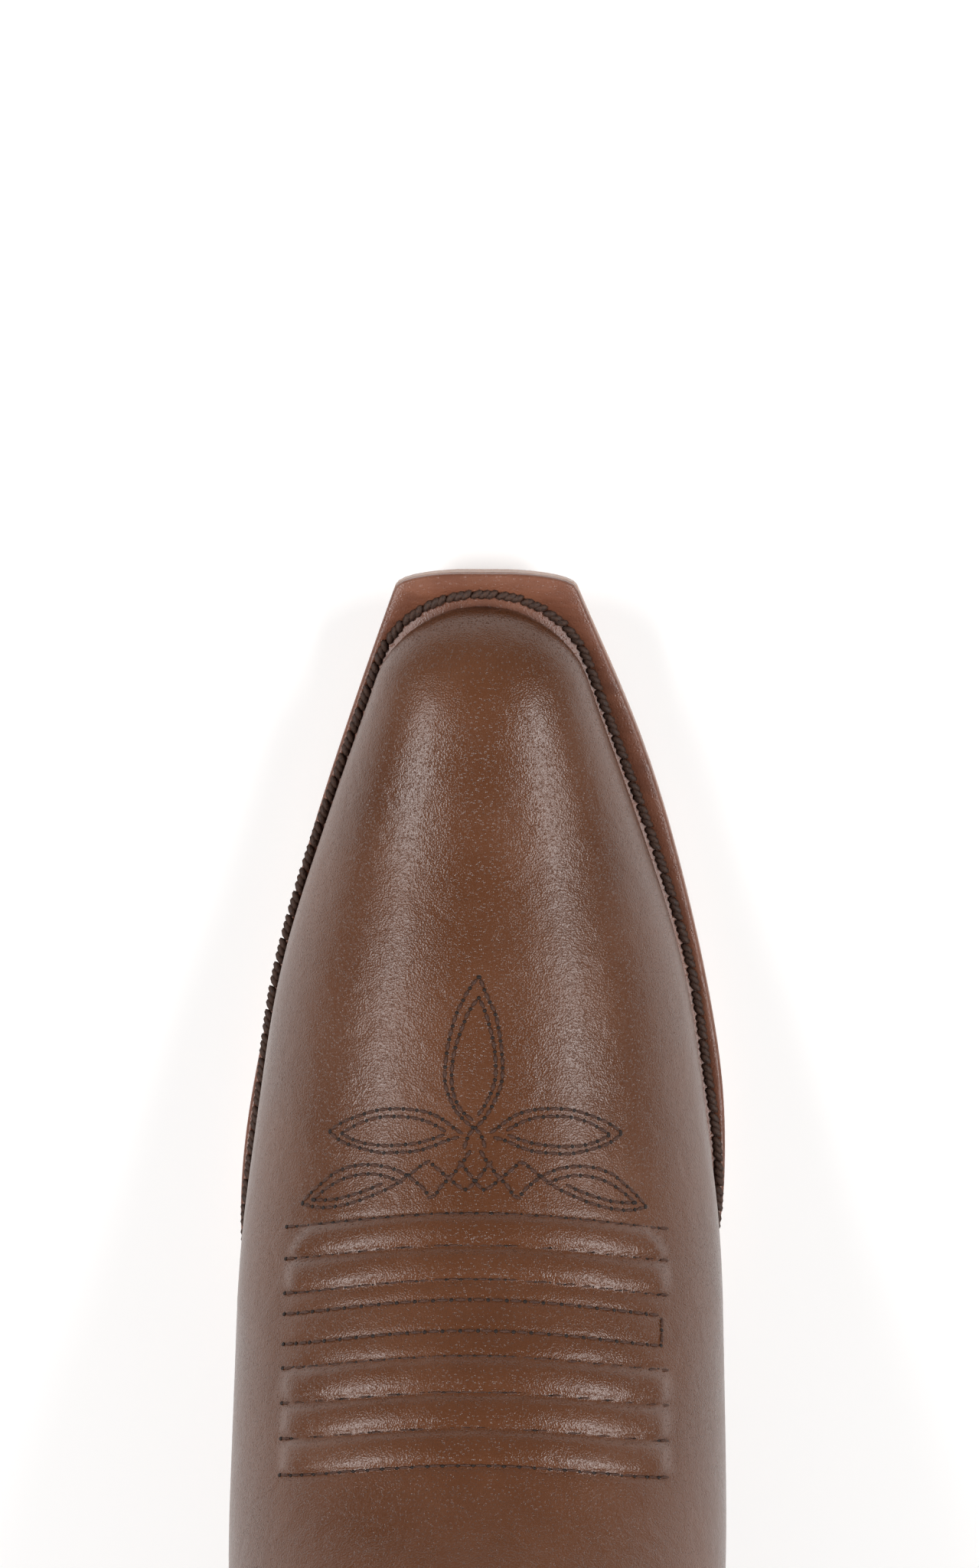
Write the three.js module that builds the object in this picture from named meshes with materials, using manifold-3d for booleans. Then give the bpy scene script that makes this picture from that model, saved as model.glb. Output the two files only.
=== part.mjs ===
// A pull-on cowboy boot for the left foot: Goodyear-welted leather sole with a snip toe, stacked
// leather heel, corded vamp, two-panel shaft and a leather pull strap on each side.
// Millimetres. +Z is up, +Y points to the toe and +X to the wearer's inner (medial) side.
// The boot stands on z = 0, and the whole group is centred over the origin at the end.
import * as THREE from "three";
import { mergeVertices } from "three/addons/utils/BufferGeometryUtils.js";
import Module from "manifold-3d";

const wasm = await Module();
wasm.setup();

// ---------------------------------------------------------------- driving dimensions
const soleLength = 298; // back of the heel seat to the toe tip
const soleWidth = 97.3; // across the ball
const shaftWidth = 104; // side to side at the collar
const heelHeight = 41; // floor to the underside of the sole, at the back
const toeSpring = 13; // floor to the underside of the sole, at the toe tip
const collarHeight = 335; // floor to the highest point of the collar
const scallopDepth = 36; // dip of the collar at the front and the back

const outsoleThickness = 5;
const weltThickness = 3;
const insoleThickness = 3;
const sockThickness = 2;
const vampLeather = 1.4;
const shaftLeather = 1.4;
const liningLeather = 1.1;
const bindingLeather = 0.9;
const pipingHeight = 1.5;
const pipingWidth = 4;
const strapLeather = 1.5;
const strapWidth = 19;
const strapTail = 42; // length of each sewn tail below the collar
const strapLoop = 18; // height of the loop above the collar
const strapBulge = 1.5; // how much further apart the loop's sides are at the top than at the collar
const strapSwing = (13 * Math.PI) / 180; // how far a loop leans to each side
const strapLift = 0.9; // room under the feet of a loop, so that they clear the binding as it leans
const bindingDepth = 7;
const seamLap = 10; // the shaft runs this far down behind the vamp and the counter cover
const gap = 0.3; // between two pieces that lie face to face
const seamGap = 0.5; // between two edges that butt

const weltInset = 6; // how far the welt reaches in under the upper
const heelBreast = 62; // back of the heel seat to the front face of the heel
const heelPitch = 7; // how much shorter the tread of the heel is at its breast
const heelUndercut = 10; // how far the back of the heel slopes in
const heelTaper = 5.5; // how far each side of the heel slopes in
const heelCapThickness = 6;
const heelLifts = 5;
const nailRadius = 1.2;
const nailLength = 14;
const shankLength = 96;
const shankWidth = 13;
const shankThickness = 1.6;
const cordRows = [178.9, 173.4, 155.1, 149.1, 143.2]; // each padded ridge, measured back to front
const cordWidth = 3.2;

// ---------------------------------------------------------------- layers of the upper
// Each is a distance in from the outer face of the vamp.
const shaftOut = vampLeather + gap;
const shaftIn = shaftOut + shaftLeather;
const liningOut = shaftIn + gap;
const liningIn = liningOut + liningLeather;
const bindingOuterIn = shaftOut - gap;
const bindingOuterOut = bindingOuterIn - bindingLeather;
const bindingInnerOut = liningIn + gap;
const bindingInnerIn = bindingInnerOut + bindingLeather;
const pipingIn = shaftOut - gap;
const pipingOut = pipingIn - pipingHeight;
const strapOuterIn = pipingOut - gap;
const strapOuterOut = strapOuterIn - strapLeather;
const strapInnerOut = bindingInnerIn + gap;
const strapInnerIn = strapInnerOut + strapLeather;

// ---------------------------------------------------------------- curves
// A natural cubic spline through points of rising x.
function spline(points) {
  const n = points.length;
  const bend = new Array(n).fill(0);
  const carry = new Array(n).fill(0);
  for (let i = 1; i < n - 1; i++) {
    const left = points[i][0] - points[i - 1][0];
    const right = points[i + 1][0] - points[i][0];
    const share = left / (left + right);
    const divisor = share * bend[i - 1] + 2;
    const slopes = (points[i + 1][1] - points[i][1]) / right - (points[i][1] - points[i - 1][1]) / left;
    bend[i] = (share - 1) / divisor;
    carry[i] = ((6 * slopes) / (left + right) - share * carry[i - 1]) / divisor;
  }
  for (let i = n - 2; i >= 0; i--) bend[i] = bend[i] * bend[i + 1] + carry[i];
  return (x) => {
    let k = 1;
    while (k < n - 1 && x > points[k][0]) k++;
    const [x0, y0] = points[k - 1];
    const [x1, y1] = points[k];
    const step = x1 - x0;
    const a = (x1 - x) / step;
    const b = (x - x0) / step;
    const cubic = (a ** 3 - a) * bend[k - 1] + (b ** 3 - b) * bend[k];
    if (x < x0 || x > x1) {
      const atEnd = x < x0 ? y0 : y1; // beyond the ends the curve runs on straight
      const slope =
        (y1 - y0) / step +
        (x < x0 ? -(2 * bend[k - 1] + bend[k]) : bend[k - 1] + 2 * bend[k]) * (step / 6);
      return atEnd + slope * (x - (x < x0 ? x0 : x1));
    }
    return a * y0 + b * y1 + (cubic * step * step) / 6;
  };
}

// A monotone cubic through points of rising x: flat where two neighbours are level.
function steady(points) {
  const slopes = points.slice(1).map((p, i) => (p[1] - points[i][1]) / (p[0] - points[i][0]));
  const tangent = points.map((_, i) => {
    if (i === 0) return slopes[0];
    if (i === points.length - 1) return slopes[i - 1];
    if (slopes[i - 1] * slopes[i] <= 0) return 0;
    return (2 * slopes[i - 1] * slopes[i]) / (slopes[i - 1] + slopes[i]);
  });
  return (x) => {
    let k = 0;
    while (k < points.length - 2 && x > points[k + 1][0]) k++;
    const step = points[k + 1][0] - points[k][0];
    const t = THREE.MathUtils.clamp((x - points[k][0]) / step, 0, 1);
    return (
      points[k][1] * (1 + 2 * t) * (1 - t) ** 2 +
      points[k + 1][1] * t * t * (3 - 2 * t) +
      step * t * (1 - t) * (tangent[k] * (1 - t) - tangent[k + 1] * t)
    );
  };
}

// How full a rounded end is at a distance in from its edge: 0 at the edge, 1 from depth on.
function rounded(distance, depth, power) {
  const left = 1 - THREE.MathUtils.clamp(distance / depth, 0, 1);
  return (1 - left ** power) ** (1 / power);
}

// Root of a function that rises through zero between low and high.
function crossing(f, low, high) {
  for (let i = 0; i < 48; i++) {
    const middle = (low + high) / 2;
    if (f(middle) > 0) high = middle;
    else low = middle;
  }
  return (low + high) / 2;
}

// Shape points are drawn on a sole 298 long and 97.3 wide, and graded to this boot's size.
const gradeY = soleLength / 298;
const gradeX = soleWidth / 97.3;
const gradeShaft = shaftWidth / 104;
const alongSole = (points, scale = 1) => points.map(([y, v]) => [y * gradeY, v * scale]);

// ---------------------------------------------------------------- the sole's outline and profile
const heelRise = steady(
  alongSole([[0, 1], [30, 0.963], [62, 0.89], [85, 0.72], [110, 0.45], [140, 0.17], [168, 0.02], [177, 0], [206, 0]]),
);
const toeRise = steady(alongSole([[206, 0], [240, 0.2], [270, 0.55], [298, 1]]));
const underside = (y) =>
  y < 190 * gradeY ? heelRise(y) * heelHeight : toeRise(y) * toeSpring;
const weltTop = (y) => underside(y) + outsoleThickness + weltThickness;
const featherZ = (y) => weltTop(y) + seamGap;

const soleSeatDepth = 32 * gradeY;
const tipDepth = 3.2;
const soleLateral = spline(
  alongSole(
    [[0, 31.5], [30, 32.5], [60, 32], [85, 32.5], [110, 36.5], [135, 43], [157, 48], [172, 48.6], [187, 47.1],
     [208, 43.1], [237.5, 36.1], [266.6, 27], [288.5, 19.4], [298, 16]],
    gradeX,
  ),
);
const soleMedial = spline(
  alongSole(
    [[0, 31.5], [30, 32], [60, 30.5], [85, 28.5], [105, 29.5], [125, 34], [145, 41.5], [165, 47.3], [180, 48.3],
     [194, 47.7], [208.5, 45.6], [237.5, 39.2], [266.6, 30.3], [288.5, 21.2], [298, 17.2]],
    gradeX,
  ),
);
const soleEdge = (side) => (y) =>
  (side > 0 ? soleMedial(y) : soleLateral(y)) *
  rounded(y, soleSeatDepth, 2.1) *
  rounded(soleLength - y, tipDepth, 2.4);

// ---------------------------------------------------------------- the upper's surface
// Sections fan round a pivot in front of the instep: upright over the foot, level up the shaft.
const pivotY = 158 * gradeY;
const pivotZ = heelHeight + 127;
const quarterTurn = 117; // length given to the quarter turn, so the sections stay evenly spaced
const upperTip = 291.5 * gradeY;
const toeDepth = 14;
const noseDepth = 22;
const topOfSurface = collarHeight + strapLoop + 12;

// A place in the side view as [how far along the boot, how far down from the pivot].
function toFan(y, z) {
  if (y >= pivotY) return [pivotY - y, pivotZ - z];
  if (z >= pivotZ) return [quarterTurn + z - pivotZ, pivotY - y];
  const angle = Math.atan2(pivotY - y, pivotZ - z);
  return [(angle / (Math.PI / 2)) * quarterTurn, Math.hypot(pivotY - y, pivotZ - z)];
}
function fromFan(along, down) {
  if (along <= 0) return [pivotY - along, pivotZ - down];
  if (along >= quarterTurn) return [pivotY - down, pivotZ + along - quarterTurn];
  const angle = (along / quarterTurn) * (Math.PI / 2);
  return [pivotY - down * Math.sin(angle), pivotZ - down * Math.cos(angle)];
}

// Front of the boot from the toe to the collar: height over the welt, then [y, height over the heel].
const ridgeOverFoot = [
  [291.5, 17], [284, 19.8], [273, 23.2], [258, 27.8], [243, 33], [228, 39.5], [213, 45.5], [198, 51.5],
  [182, 59], [170, 65.5], [158, 72.5],
];
const ridgeOverHeel = [
  [138.8, 55.5], [125, 69.8], [114.9, 83.9], [108.2, 98.3], [105.4, 112.9], [104.5, 127], [104, 159],
  [106, 209], [109, 259], [112, 299], [114, 330],
];
const ridge = spline([
  ...ridgeOverFoot.map(([y, h]) => toFan(y * gradeY, featherZ(y * gradeY) + h)),
  ...ridgeOverHeel.map(([y, h]) => toFan(y * gradeY, heelHeight + h)),
]);
// Back of the boot, from the heel seat up.
const backLine = spline(
  [[0, 4], [9, 2.5], [21, -0.5], [35, -1.5], [60, 0.6], [86, 5], [105, 5], [127, 2.5], [159, -3], [209, -14],
   [259, -25], [299, -32], [330, -37]].map(([h, y]) => [heelHeight + h, y * gradeY]),
);
const backDepth = spline(
  [[0, 29], [39, 34], [69, 42], [99, 50], [127, 54], [159, 58], [209, 66], [259, 72], [330, 76]].map(
    ([h, d]) => [heelHeight + h, d * gradeY],
  ),
);
// Half width of the upper: over the foot by y, then through the turn and up the shaft.
const bodyFoot = [
  [291.5, 16.3], [284, 18.6], [273, 22.2], [258, 27.5], [243, 32.6], [228, 37.4], [213, 41], [198, 43.3],
  [182, 45.4], [167, 47], [158, 47.4],
];
const bodyTurn = [[15, 47.9], [30, 46.9], [45, 42], [60, 37.2], [75, 36.2]];
const bodyShaft = [[127, 37.8], [159, 40.8], [209, 45.6], [259, 49.6], [299, 52.2], [330, 53.6]];
const bodyWidth = spline([
  ...bodyFoot.map(([y, w]) => [pivotY - y * gradeY, w * gradeX]),
  ...bodyTurn.map(([a, w]) => [(a / 90) * quarterTurn, w * gradeX]),
  ...bodyShaft.map(([h, w]) => [quarterTurn + heelHeight + h - pivotZ, w * gradeShaft]),
]);
// Half width of the upper where it meets the welt.
const featherLateral = spline(
  alongSole(
    [[0, 28], [30, 30], [60, 29.5], [85, 30], [110, 34], [135, 40], [155, 44.6], [170, 45.3], [182, 43.9],
     [198, 41.8], [213, 39.6], [228, 36], [258, 26.2], [273, 20.8], [284, 17], [291.5, 15]],
    gradeX,
  ),
);
const featherMedial = spline(
  alongSole(
    [[0, 28], [30, 29.5], [60, 28.5], [85, 27], [105, 28], [125, 32], [145, 38.5], [160, 43.2], [172, 44.8],
     [184, 44.2], [198, 42.2], [213, 40], [228, 36.4], [258, 26.4], [273, 21], [284, 17.2], [291.5, 15.2]],
    gradeX,
  ),
);
// How far below the front ridge a section reaches its full width.
const frontDepth = spline([
  ...[[291.5, 12], [284, 15], [273, 18.5], [258, 23], [228, 33], [198, 40], [182, 43], [158, 47]].map(
    ([y, d]) => [pivotY - y * gradeY, d],
  ),
  ...[[15, 47], [30, 47], [45, 49], [60, 52], [75, 54], [90, 55]].map(([a, d]) => [(a / 90) * quarterTurn, d]),
  ...[[159, 56], [209, 62], [259, 67], [330, 71]].map(([h, d]) => [
    quarterTurn + heelHeight + h - pivotZ,
    d * gradeY,
  ]),
]);
const tuckHeight = spline([[-133 * gradeY, 7], [-60, 10], [0, 22], [58, 26], [117, 26], [300, 26]]);
const crown = 2.25; // power of the rounding over the ridge

const toeFill = (y, inset) => rounded(upperTip - inset - y, toeDepth, 2.2);
const noseFill = (y, inset) => rounded(upperTip - inset - y, noseDepth, 2);
function ridgeDown(along, inset) {
  const [y] = fromFan(along, 0);
  if (along > 0) return ridge(along) + inset;
  const full = pivotZ - ridge(along) - inset - featherZ(y);
  return pivotZ - featherZ(y) - full * noseFill(y, inset);
}
const solePoint = (along) =>
  crossing((down) => {
    const [y, z] = fromFan(along, down);
    return featherZ(y) - z;
  }, 0, 400);
const backPoint = (along, inset) =>
  crossing((down) => {
    const [y, z] = fromFan(along, down);
    return backLine(z) + inset - y;
  }, 0, 400);

// Half width at a place in the side view, for the medial (+1) or lateral (-1) side.
function halfWidth(along, down, inset, side) {
  const [y, z] = fromFan(along, down);
  const body = bodyWidth(along) - inset;
  const foot = (side > 0 ? featherMedial(y) : featherLateral(y)) - inset;
  const over = rounded(z - featherZ(y), tuckHeight(along), 2);
  const wall = z < pivotZ ? foot + (body - foot) * over : body;
  const depth = frontDepth(along) * (along < 0 ? noseFill(y, inset) : 1);
  const front = depth > 0 ? rounded(down - ridgeDown(along, inset), depth, crown) : 0;
  const back = rounded(y - backLine(z) - inset, backDepth(z), 2.05);
  const toe = along < 0 ? toeFill(y, inset) : 1;
  return Math.max(0, wall * front * back * toe);
}

// Sections from the toe to above the collar. Up to the heel corner each one is open at the sole.
const toeSections = 5;
const footSections = 9;
const waistSections = 10;
const heelSections = 5;
const ankleSections = 5;
const shaftSections = 5;
const around = 20;
const cornerSection = toeSections + footSections + waistSections + heelSections;
function sections(inset) {
  const tip = pivotY - (upperTip - inset);
  const toeEnd = tip + toeDepth;
  const corner = crossing((along) => solePoint(along) - backPoint(along, inset), 20, quarterTurn);
  const [heelBack] = fromFan(corner, solePoint(corner));
  const heelFront = heelBack + backDepth(heelHeight);
  const soleAlong = (y) => toFan(y, featherZ(y))[0];
  const span = (from, to, count) =>
    Array.from({ length: count }, (_, i) => from + ((to - from) * (i + 1)) / count);
  const toe = Array.from(
    { length: toeSections },
    (_, i) => tip + toeDepth * (1 - Math.cos(((i + 1) / toeSections) * (Math.PI / 2))),
  );
  const heel = Array.from({ length: heelSections - 1 }, (_, i) =>
    soleAlong(heelBack + backDepth(heelHeight) * (1 - Math.cos((1 - (i + 1) / heelSections) * (Math.PI / 2)))),
  );
  return [
    tip,
    ...toe,
    ...span(toeEnd, 0, footSections),
    ...span(0, soleAlong(heelFront), waistSections),
    ...heel,
    corner,
    ...span(corner, quarterTurn, ankleSections),
    ...span(quarterTurn, quarterTurn + topOfSurface - pivotZ, shaftSections),
  ];
}

// Points across one section, from the medial sole or back, over the ridge, to the lateral one.
function sectionPoints(along, inset, closed) {
  const top = ridgeDown(along, inset);
  const low = closed ? backPoint(along, inset) : solePoint(along);
  const evenness = closed ? 1 : THREE.MathUtils.clamp(along / quarterTurn, 0.25, 1);
  return Array.from({ length: around + 1 }, (_, j) => {
    const t = (2 * j) / around - 1;
    const turn = Math.abs(t) * (Math.PI / 2);
    const share = THREE.MathUtils.lerp(1 - Math.cos(turn), (1 - Math.cos(2 * turn)) / 2, evenness);
    const down = top + (low - top) * share;
    const [y, z] = fromFan(along, down);
    const atSeam = j === around / 2 || (closed && Math.abs(t) === 1);
    const x = atSeam ? 0 : -Math.sign(t) * halfWidth(along, down, inset, -Math.sign(t));
    return new THREE.Vector3(x, y, z);
  });
}

// ---------------------------------------------------------------- solids
function solidFrom(points, triangles) {
  const raw = new THREE.BufferGeometry().setFromPoints(points);
  raw.setIndex(triangles);
  const merged = mergeVertices(raw, 1e-3);
  const index = merged.index.array;
  const kept = [];
  for (let i = 0; i < index.length; i += 3) {
    const [a, b, c] = index.slice(i, i + 3);
    if (a !== b && b !== c && c !== a) kept.push(a, b, c);
  }
  const made = new wasm.Manifold(
    new wasm.Mesh({
      numProp: 3,
      vertProperties: new Float32Array(merged.attributes.position.array),
      triVerts: new Uint32Array(kept),
    }),
  );
  if (made.volume() > 0) return made;
  for (let i = 0; i < kept.length; i += 3) [kept[i], kept[i + 1]] = [kept[i + 1], kept[i]];
  return new wasm.Manifold(
    new wasm.Mesh({
      numProp: 3,
      vertProperties: new Float32Array(merged.attributes.position.array),
      triVerts: new Uint32Array(kept),
    }),
  );
}

function solidFromGeometry(geometry) {
  const bare = geometry.index ? geometry.toNonIndexed() : geometry;
  const at = bare.getAttribute("position");
  const points = Array.from({ length: at.count }, (_, i) => new THREE.Vector3().fromBufferAttribute(at, i));
  return solidFrom(points, points.map((_, i) => i));
}

// Two matching grids of points, one outside the other, as one closed wall.
function wallBetween(outer, inner, openRows) {
  const points = [...outer.flat(), ...inner.flat()];
  const across = outer[0].length;
  const inside = outer.length * across;
  const triangles = [];
  const quad = (a, b, c, d) => triangles.push(a, b, c, a, c, d);
  for (let i = 0; i < outer.length - 1; i++) {
    for (let j = 0; j < across - 1; j++) {
      const p = i * across + j;
      quad(p, p + across, p + across + 1, p + 1);
      quad(inside + p, inside + p + 1, inside + p + across + 1, inside + p + across);
    }
    if (i < openRows) {
      const first = i * across;
      const last = first + across - 1;
      quad(first, inside + first, inside + first + across, first + across);
      quad(last, last + across, inside + last + across, inside + last);
    }
  }
  const top = (outer.length - 1) * across;
  for (let j = 0; j < across - 1; j++) {
    quad(top + j, inside + top + j, inside + top + j + 1, top + j + 1);
  }
  return solidFrom(points, triangles);
}

// The whole upper as one wall between two insets. Every leather piece is trimmed from one of these.
function layer(outset, inset) {
  const grid = (d) => sections(d).map((along, i) => sectionPoints(along, d, i > cornerSection));
  const outer = grid(outset);
  const inner = grid(inset);
  return wallBetween(outer, inner, cornerSection);
}

// A bar running through the boot from side to side, with the given outline in the side view.
const farSide = 90;
function bar(outline, from = -farSide, to = farSide) {
  const shape = new THREE.Shape(outline.map(([y, z]) => new THREE.Vector2(y, z)));
  const geometry = new THREE.ExtrudeGeometry(shape, { depth: to - from, bevelEnabled: false });
  const sideways = new THREE.Matrix4().makeBasis(
    new THREE.Vector3(0, 1, 0),
    new THREE.Vector3(0, 0, 1),
    new THREE.Vector3(1, 0, 0),
  );
  geometry.applyMatrix4(sideways).translate(from, 0, 0);
  return solidFromGeometry(geometry);
}

// A smooth edge drawn through a few places in the side view.
function edge(points, pieces = 14) {
  const placed = points.map(([y, h]) => new THREE.Vector2(y * gradeY, heelHeight + h));
  return new THREE.SplineCurve(placed).getPoints(pieces).map((p) => [p.x, p.y]);
}
const shifted = (points, dy, dz) => points.map(([y, z]) => [y + dy, z + dz]);

// A solid skinned over rows of four corners: low left, low right, high right, high left.
function skin(rows) {
  const triangles = [];
  const quad = (a, b, c, d) => triangles.push(a, b, c, a, c, d);
  const last = 4 * (rows.length - 1);
  for (let i = 0; i < last; i += 4) {
    for (let k = 0; k < 4; k++) {
      const next = (k + 1) % 4;
      quad(i + k, i + 4 + k, i + 4 + next, i + next);
    }
  }
  quad(0, 1, 2, 3);
  quad(last + 3, last + 2, last + 1, last);
  return solidFrom(rows.flat(), triangles);
}

// A flat piece that follows the sole: between two edges, two heights, and from one y to another.
// Every piece is sampled at the same places along the sole, and closer together where it rounds off.
const stationStep = 10;
const endRows = 7;
function stations(from, to, roundBack, roundFront) {
  const end = (depth) =>
    Array.from({ length: endRows + 1 }, (_, i) => depth * (1 - Math.cos((i / endRows) * (Math.PI / 2))));
  const back = roundBack ? end(roundBack).map((step) => from + step) : [from];
  const front = roundFront ? end(roundFront).map((step) => to - step).reverse() : [to];
  const middle = [];
  for (let y = stationStep; y < soleLength; y += stationStep) {
    if (y > back.at(-1) + 2 && y < front[0] - 2) middle.push(y);
  }
  return [...back, ...middle, ...front];
}
function slab(leftOf, rightOf, lowOf, highOf, from, to, roundBack = 0, roundFront = 0) {
  const rows = stations(from, to, roundBack, roundFront).map((y) => [
    new THREE.Vector3(leftOf(y), y, lowOf(y)),
    new THREE.Vector3(rightOf(y), y, lowOf(y)),
    new THREE.Vector3(rightOf(y), y, highOf(y)),
    new THREE.Vector3(leftOf(y), y, highOf(y)),
  ]);
  return skin(rows);
}

// ---------------------------------------------------------------- materials
const leather = (colour, roughness) => new THREE.MeshStandardMaterial({ color: colour, roughness, metalness: 0 });
const brownCalf = leather(0x5f3b26, 0.38);
const tanLining = leather(0xb98d62, 0.7);
const soleLeather = leather(0x9c6240, 0.5);
const stackLeather = leather(0x7a4a2e, 0.45);
const blackRubber = new THREE.MeshStandardMaterial({ color: 0x1c1a19, roughness: 0.8, metalness: 0 });
const cork = new THREE.MeshStandardMaterial({ color: 0xb08a5a, roughness: 0.95, metalness: 0 });
const brass = new THREE.MeshStandardMaterial({ color: 0xb08d4a, roughness: 0.35, metalness: 1 });
const springSteel = new THREE.MeshStandardMaterial({ color: 0x8d9197, roughness: 0.4, metalness: 1 });
const stiffener = new THREE.MeshStandardMaterial({ color: 0xcbb796, roughness: 0.9, metalness: 0 });
const cotton = new THREE.MeshStandardMaterial({ color: 0xd8ccb4, roughness: 0.95, metalness: 0 });

const boot = new THREE.Group();
function add(name, solid, material) {
  const found = solid.getMesh();
  const positions = new Float32Array(found.numVert * 3);
  for (let i = 0; i < found.numVert; i++) {
    positions.set(found.vertProperties.subarray(i * found.numProp, i * found.numProp + 3), i * 3);
  }
  const geometry = new THREE.BufferGeometry();
  geometry.setAttribute("position", new THREE.BufferAttribute(positions, 3));
  geometry.setIndex(new THREE.BufferAttribute(found.triVerts, 1));
  const mesh = new THREE.Mesh(geometry, material);
  mesh.name = name;
  boot.add(mesh);
}

// ---------------------------------------------------------------- seam lines in the side view
// [y, height over the heel], each drawn once and shared by the pieces that meet there.
const farBelow = -60;
const farAbove = topOfSurface + 40;
const farFront = soleLength + 40;
const farBack = -90;
const waistSeam = 84 * gradeY;
const vampTop = edge([[84, 51], [93, 48], [100.5, 58], [103.8, 74], [104.2, 91], [103, 107], [106, 121], [130, 131]]);
const counterTop = edge([[84, 51], [70, 43], [50, 43], [30, 51], [14, 65], [0, 76], [-20, 80]]);
const shaftLow = [...shifted(counterTop, 0, -seamLap).reverse(), ...shifted(vampTop, 1.2, -seamLap).slice(1)];
const sideSeam = (z) => THREE.MathUtils.mapLinear(z, heelHeight + 34, collarHeight, 58, 39) * gradeY;
const seamAt = (z, dy = 0) => [sideSeam(z) + dy, z];
const highSide = sideSeam(collarHeight);

// The collar's top edge: high over each side seam, dipping at the front and the back.
function collarEdge(drop) {
  const front = 111 * gradeY;
  const back = -27 * gradeY;
  const steps = 24;
  return Array.from({ length: steps + 1 }, (_, i) => {
    const y = back + ((front - back) * i) / steps;
    const half = y > highSide ? front - highSide : highSide - back;
    const away = Math.min(1, Math.abs(y - highSide) / half);
    return [y, collarHeight - drop - scallopDepth * (1 - (1 - away ** 2.2) ** 0.62)];
  });
}
const below = (line) => [
  [farBack, farBelow],
  [farBack, line[0][1]],
  ...line,
  [farFront, line.at(-1)[1]],
  [farFront, farBelow],
];
const above = (line) => [
  [farBack, farAbove],
  [farFront, farAbove],
  [farFront, line.at(-1)[1]],
  ...[...line].reverse(),
  [farBack, line[0][1]],
];

// ---------------------------------------------------------------- sole
const heelSeat = heelBreast * gradeY;
const soleSide = (inset) => [
  (y) => -Math.max(0.6, soleEdge(-1)(y) - inset),
  (y) => Math.max(0.6, soleEdge(1)(y) - inset),
];
const featherSide = (inset) => {
  const end = (y) => rounded(y - backLine(heelHeight + 8) - inset, backDepth(heelHeight + 8), 2.05);
  return [
    (y) => -Math.max(0.6, (featherLateral(y) - inset) * toeFill(y, inset) * end(y)),
    (y) => Math.max(0.6, (featherMedial(y) - inset) * toeFill(y, inset) * end(y)),
  ];
};

function addOutsole() {
  const [left, right] = soleSide(0);
  const top = (y) => underside(y) + outsoleThickness;
  const shape = slab(left, right, underside, top, 0.15, soleLength - 0.1, soleSeatDepth, tipDepth);
  add("outsole", shape, soleLeather);
}

// The welt runs round the forepart to the heel breast, and the rand carries on round the heel seat.
function addWeltAndRand() {
  const [left, right] = soleSide(0);
  const low = (y) => underside(y) + outsoleThickness + gap;
  const full = slab(left, right, low, weltTop, 0.15, soleLength - 0.1, soleSeatDepth, tipDepth);
  const [innerLeft, innerRight] = featherSide(weltInset);
  const tip = upperTip - weltInset;
  const back = backLine(heelHeight) + weltInset;
  const seat = backDepth(heelHeight + 8);
  const hole = slab(innerLeft, innerRight, underside, (y) => weltTop(y) + 5, back, tip, seat, toeDepth);
  const strip = full.subtract(hole);
  const front = [[heelSeat, farBelow], [farFront, farBelow], [farFront, farAbove], [heelSeat, farAbove]];
  const rear = [[farBack, farBelow], [heelSeat - seamGap, farBelow], [heelSeat - seamGap, farAbove], [farBack, farAbove]];
  add("welt", strip.intersect(bar(front)), soleLeather);
  add("heel_rand", strip.intersect(bar(rear)), soleLeather);
}

function addInsole() {
  const clear = liningIn + 4 * gap;
  const [left, right] = featherSide(clear);
  const back = backLine(heelHeight + 8) + clear + 3;
  const tip = upperTip - clear - 0.2;
  const seat = backDepth(heelHeight + 8);
  const board = (low, high, front) => slab(left, right, low, high, back, front, seat, toeDepth);
  const boardLow = (y) => featherZ(y);
  const boardTop = (y) => featherZ(y) + insoleThickness;
  const sockLow = (y) => boardTop(y) + gap;
  add("insole_board", board(boardLow, boardTop, tip), tanLining);
  add("sock_liner", board(sockLow, (y) => sockLow(y) + sockThickness, tip - 4), tanLining);
}

// The cavity inside the welt holds a steel shank under the arch and cork under the ball.
function addFillers() {
  const low = (y) => underside(y) + outsoleThickness + gap;
  const high = (y) => weltTop(y) - gap;
  const [left, right] = featherSide(weltInset + 1);
  const shankBack = 30 * gradeY;
  const shankFront = shankBack + shankLength;
  const corkBack = shankFront + 2;
  const corkFront = upperTip - weltInset - 3;
  add("cork_filler", slab(left, right, low, high, corkBack, corkFront, 0, toeDepth), cork);
  const half = () => shankWidth / 2;
  const shankLow = (y) => low(y) + 0.2;
  add(
    "steel_shank",
    slab((y) => -half(y), half, shankLow, (y) => shankLow(y) + shankThickness, shankBack, shankFront),
    springSteel,
  );
}

// ---------------------------------------------------------------- heel
// One level slab of the heel, with the slopes of its back, breast and sides.
function heelSlab(low, high) {
  const top = underside(heelSeat);
  const outline = (z, y0) => {
    const down = 1 - Math.min(1, z / top);
    const back = 0.4 + heelUndercut * down;
    const breast = heelSeat - 1 - heelPitch * down;
    const y = back + (breast - back) * y0;
    const half = (31.5 * gradeX - heelTaper * down) * rounded(y - back, soleSeatDepth - 2 * down, 2.1);
    return [Math.max(0.6, half), y];
  };
  const steps = 12;
  const rows = Array.from({ length: steps + 1 }, (_, i) => {
    const share = 1 - Math.cos((Math.PI / 2) * (i / steps));
    const [lowHalf, lowY] = outline(low(share), share);
    const [highHalf, highY] = outline(high(share), share);
    return [
      new THREE.Vector3(-lowHalf, lowY, low(share)),
      new THREE.Vector3(lowHalf, lowY, low(share)),
      new THREE.Vector3(highHalf, highY, high(share)),
      new THREE.Vector3(-highHalf, highY, high(share)),
    ];
  });
  return skin(rows);
}

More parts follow.
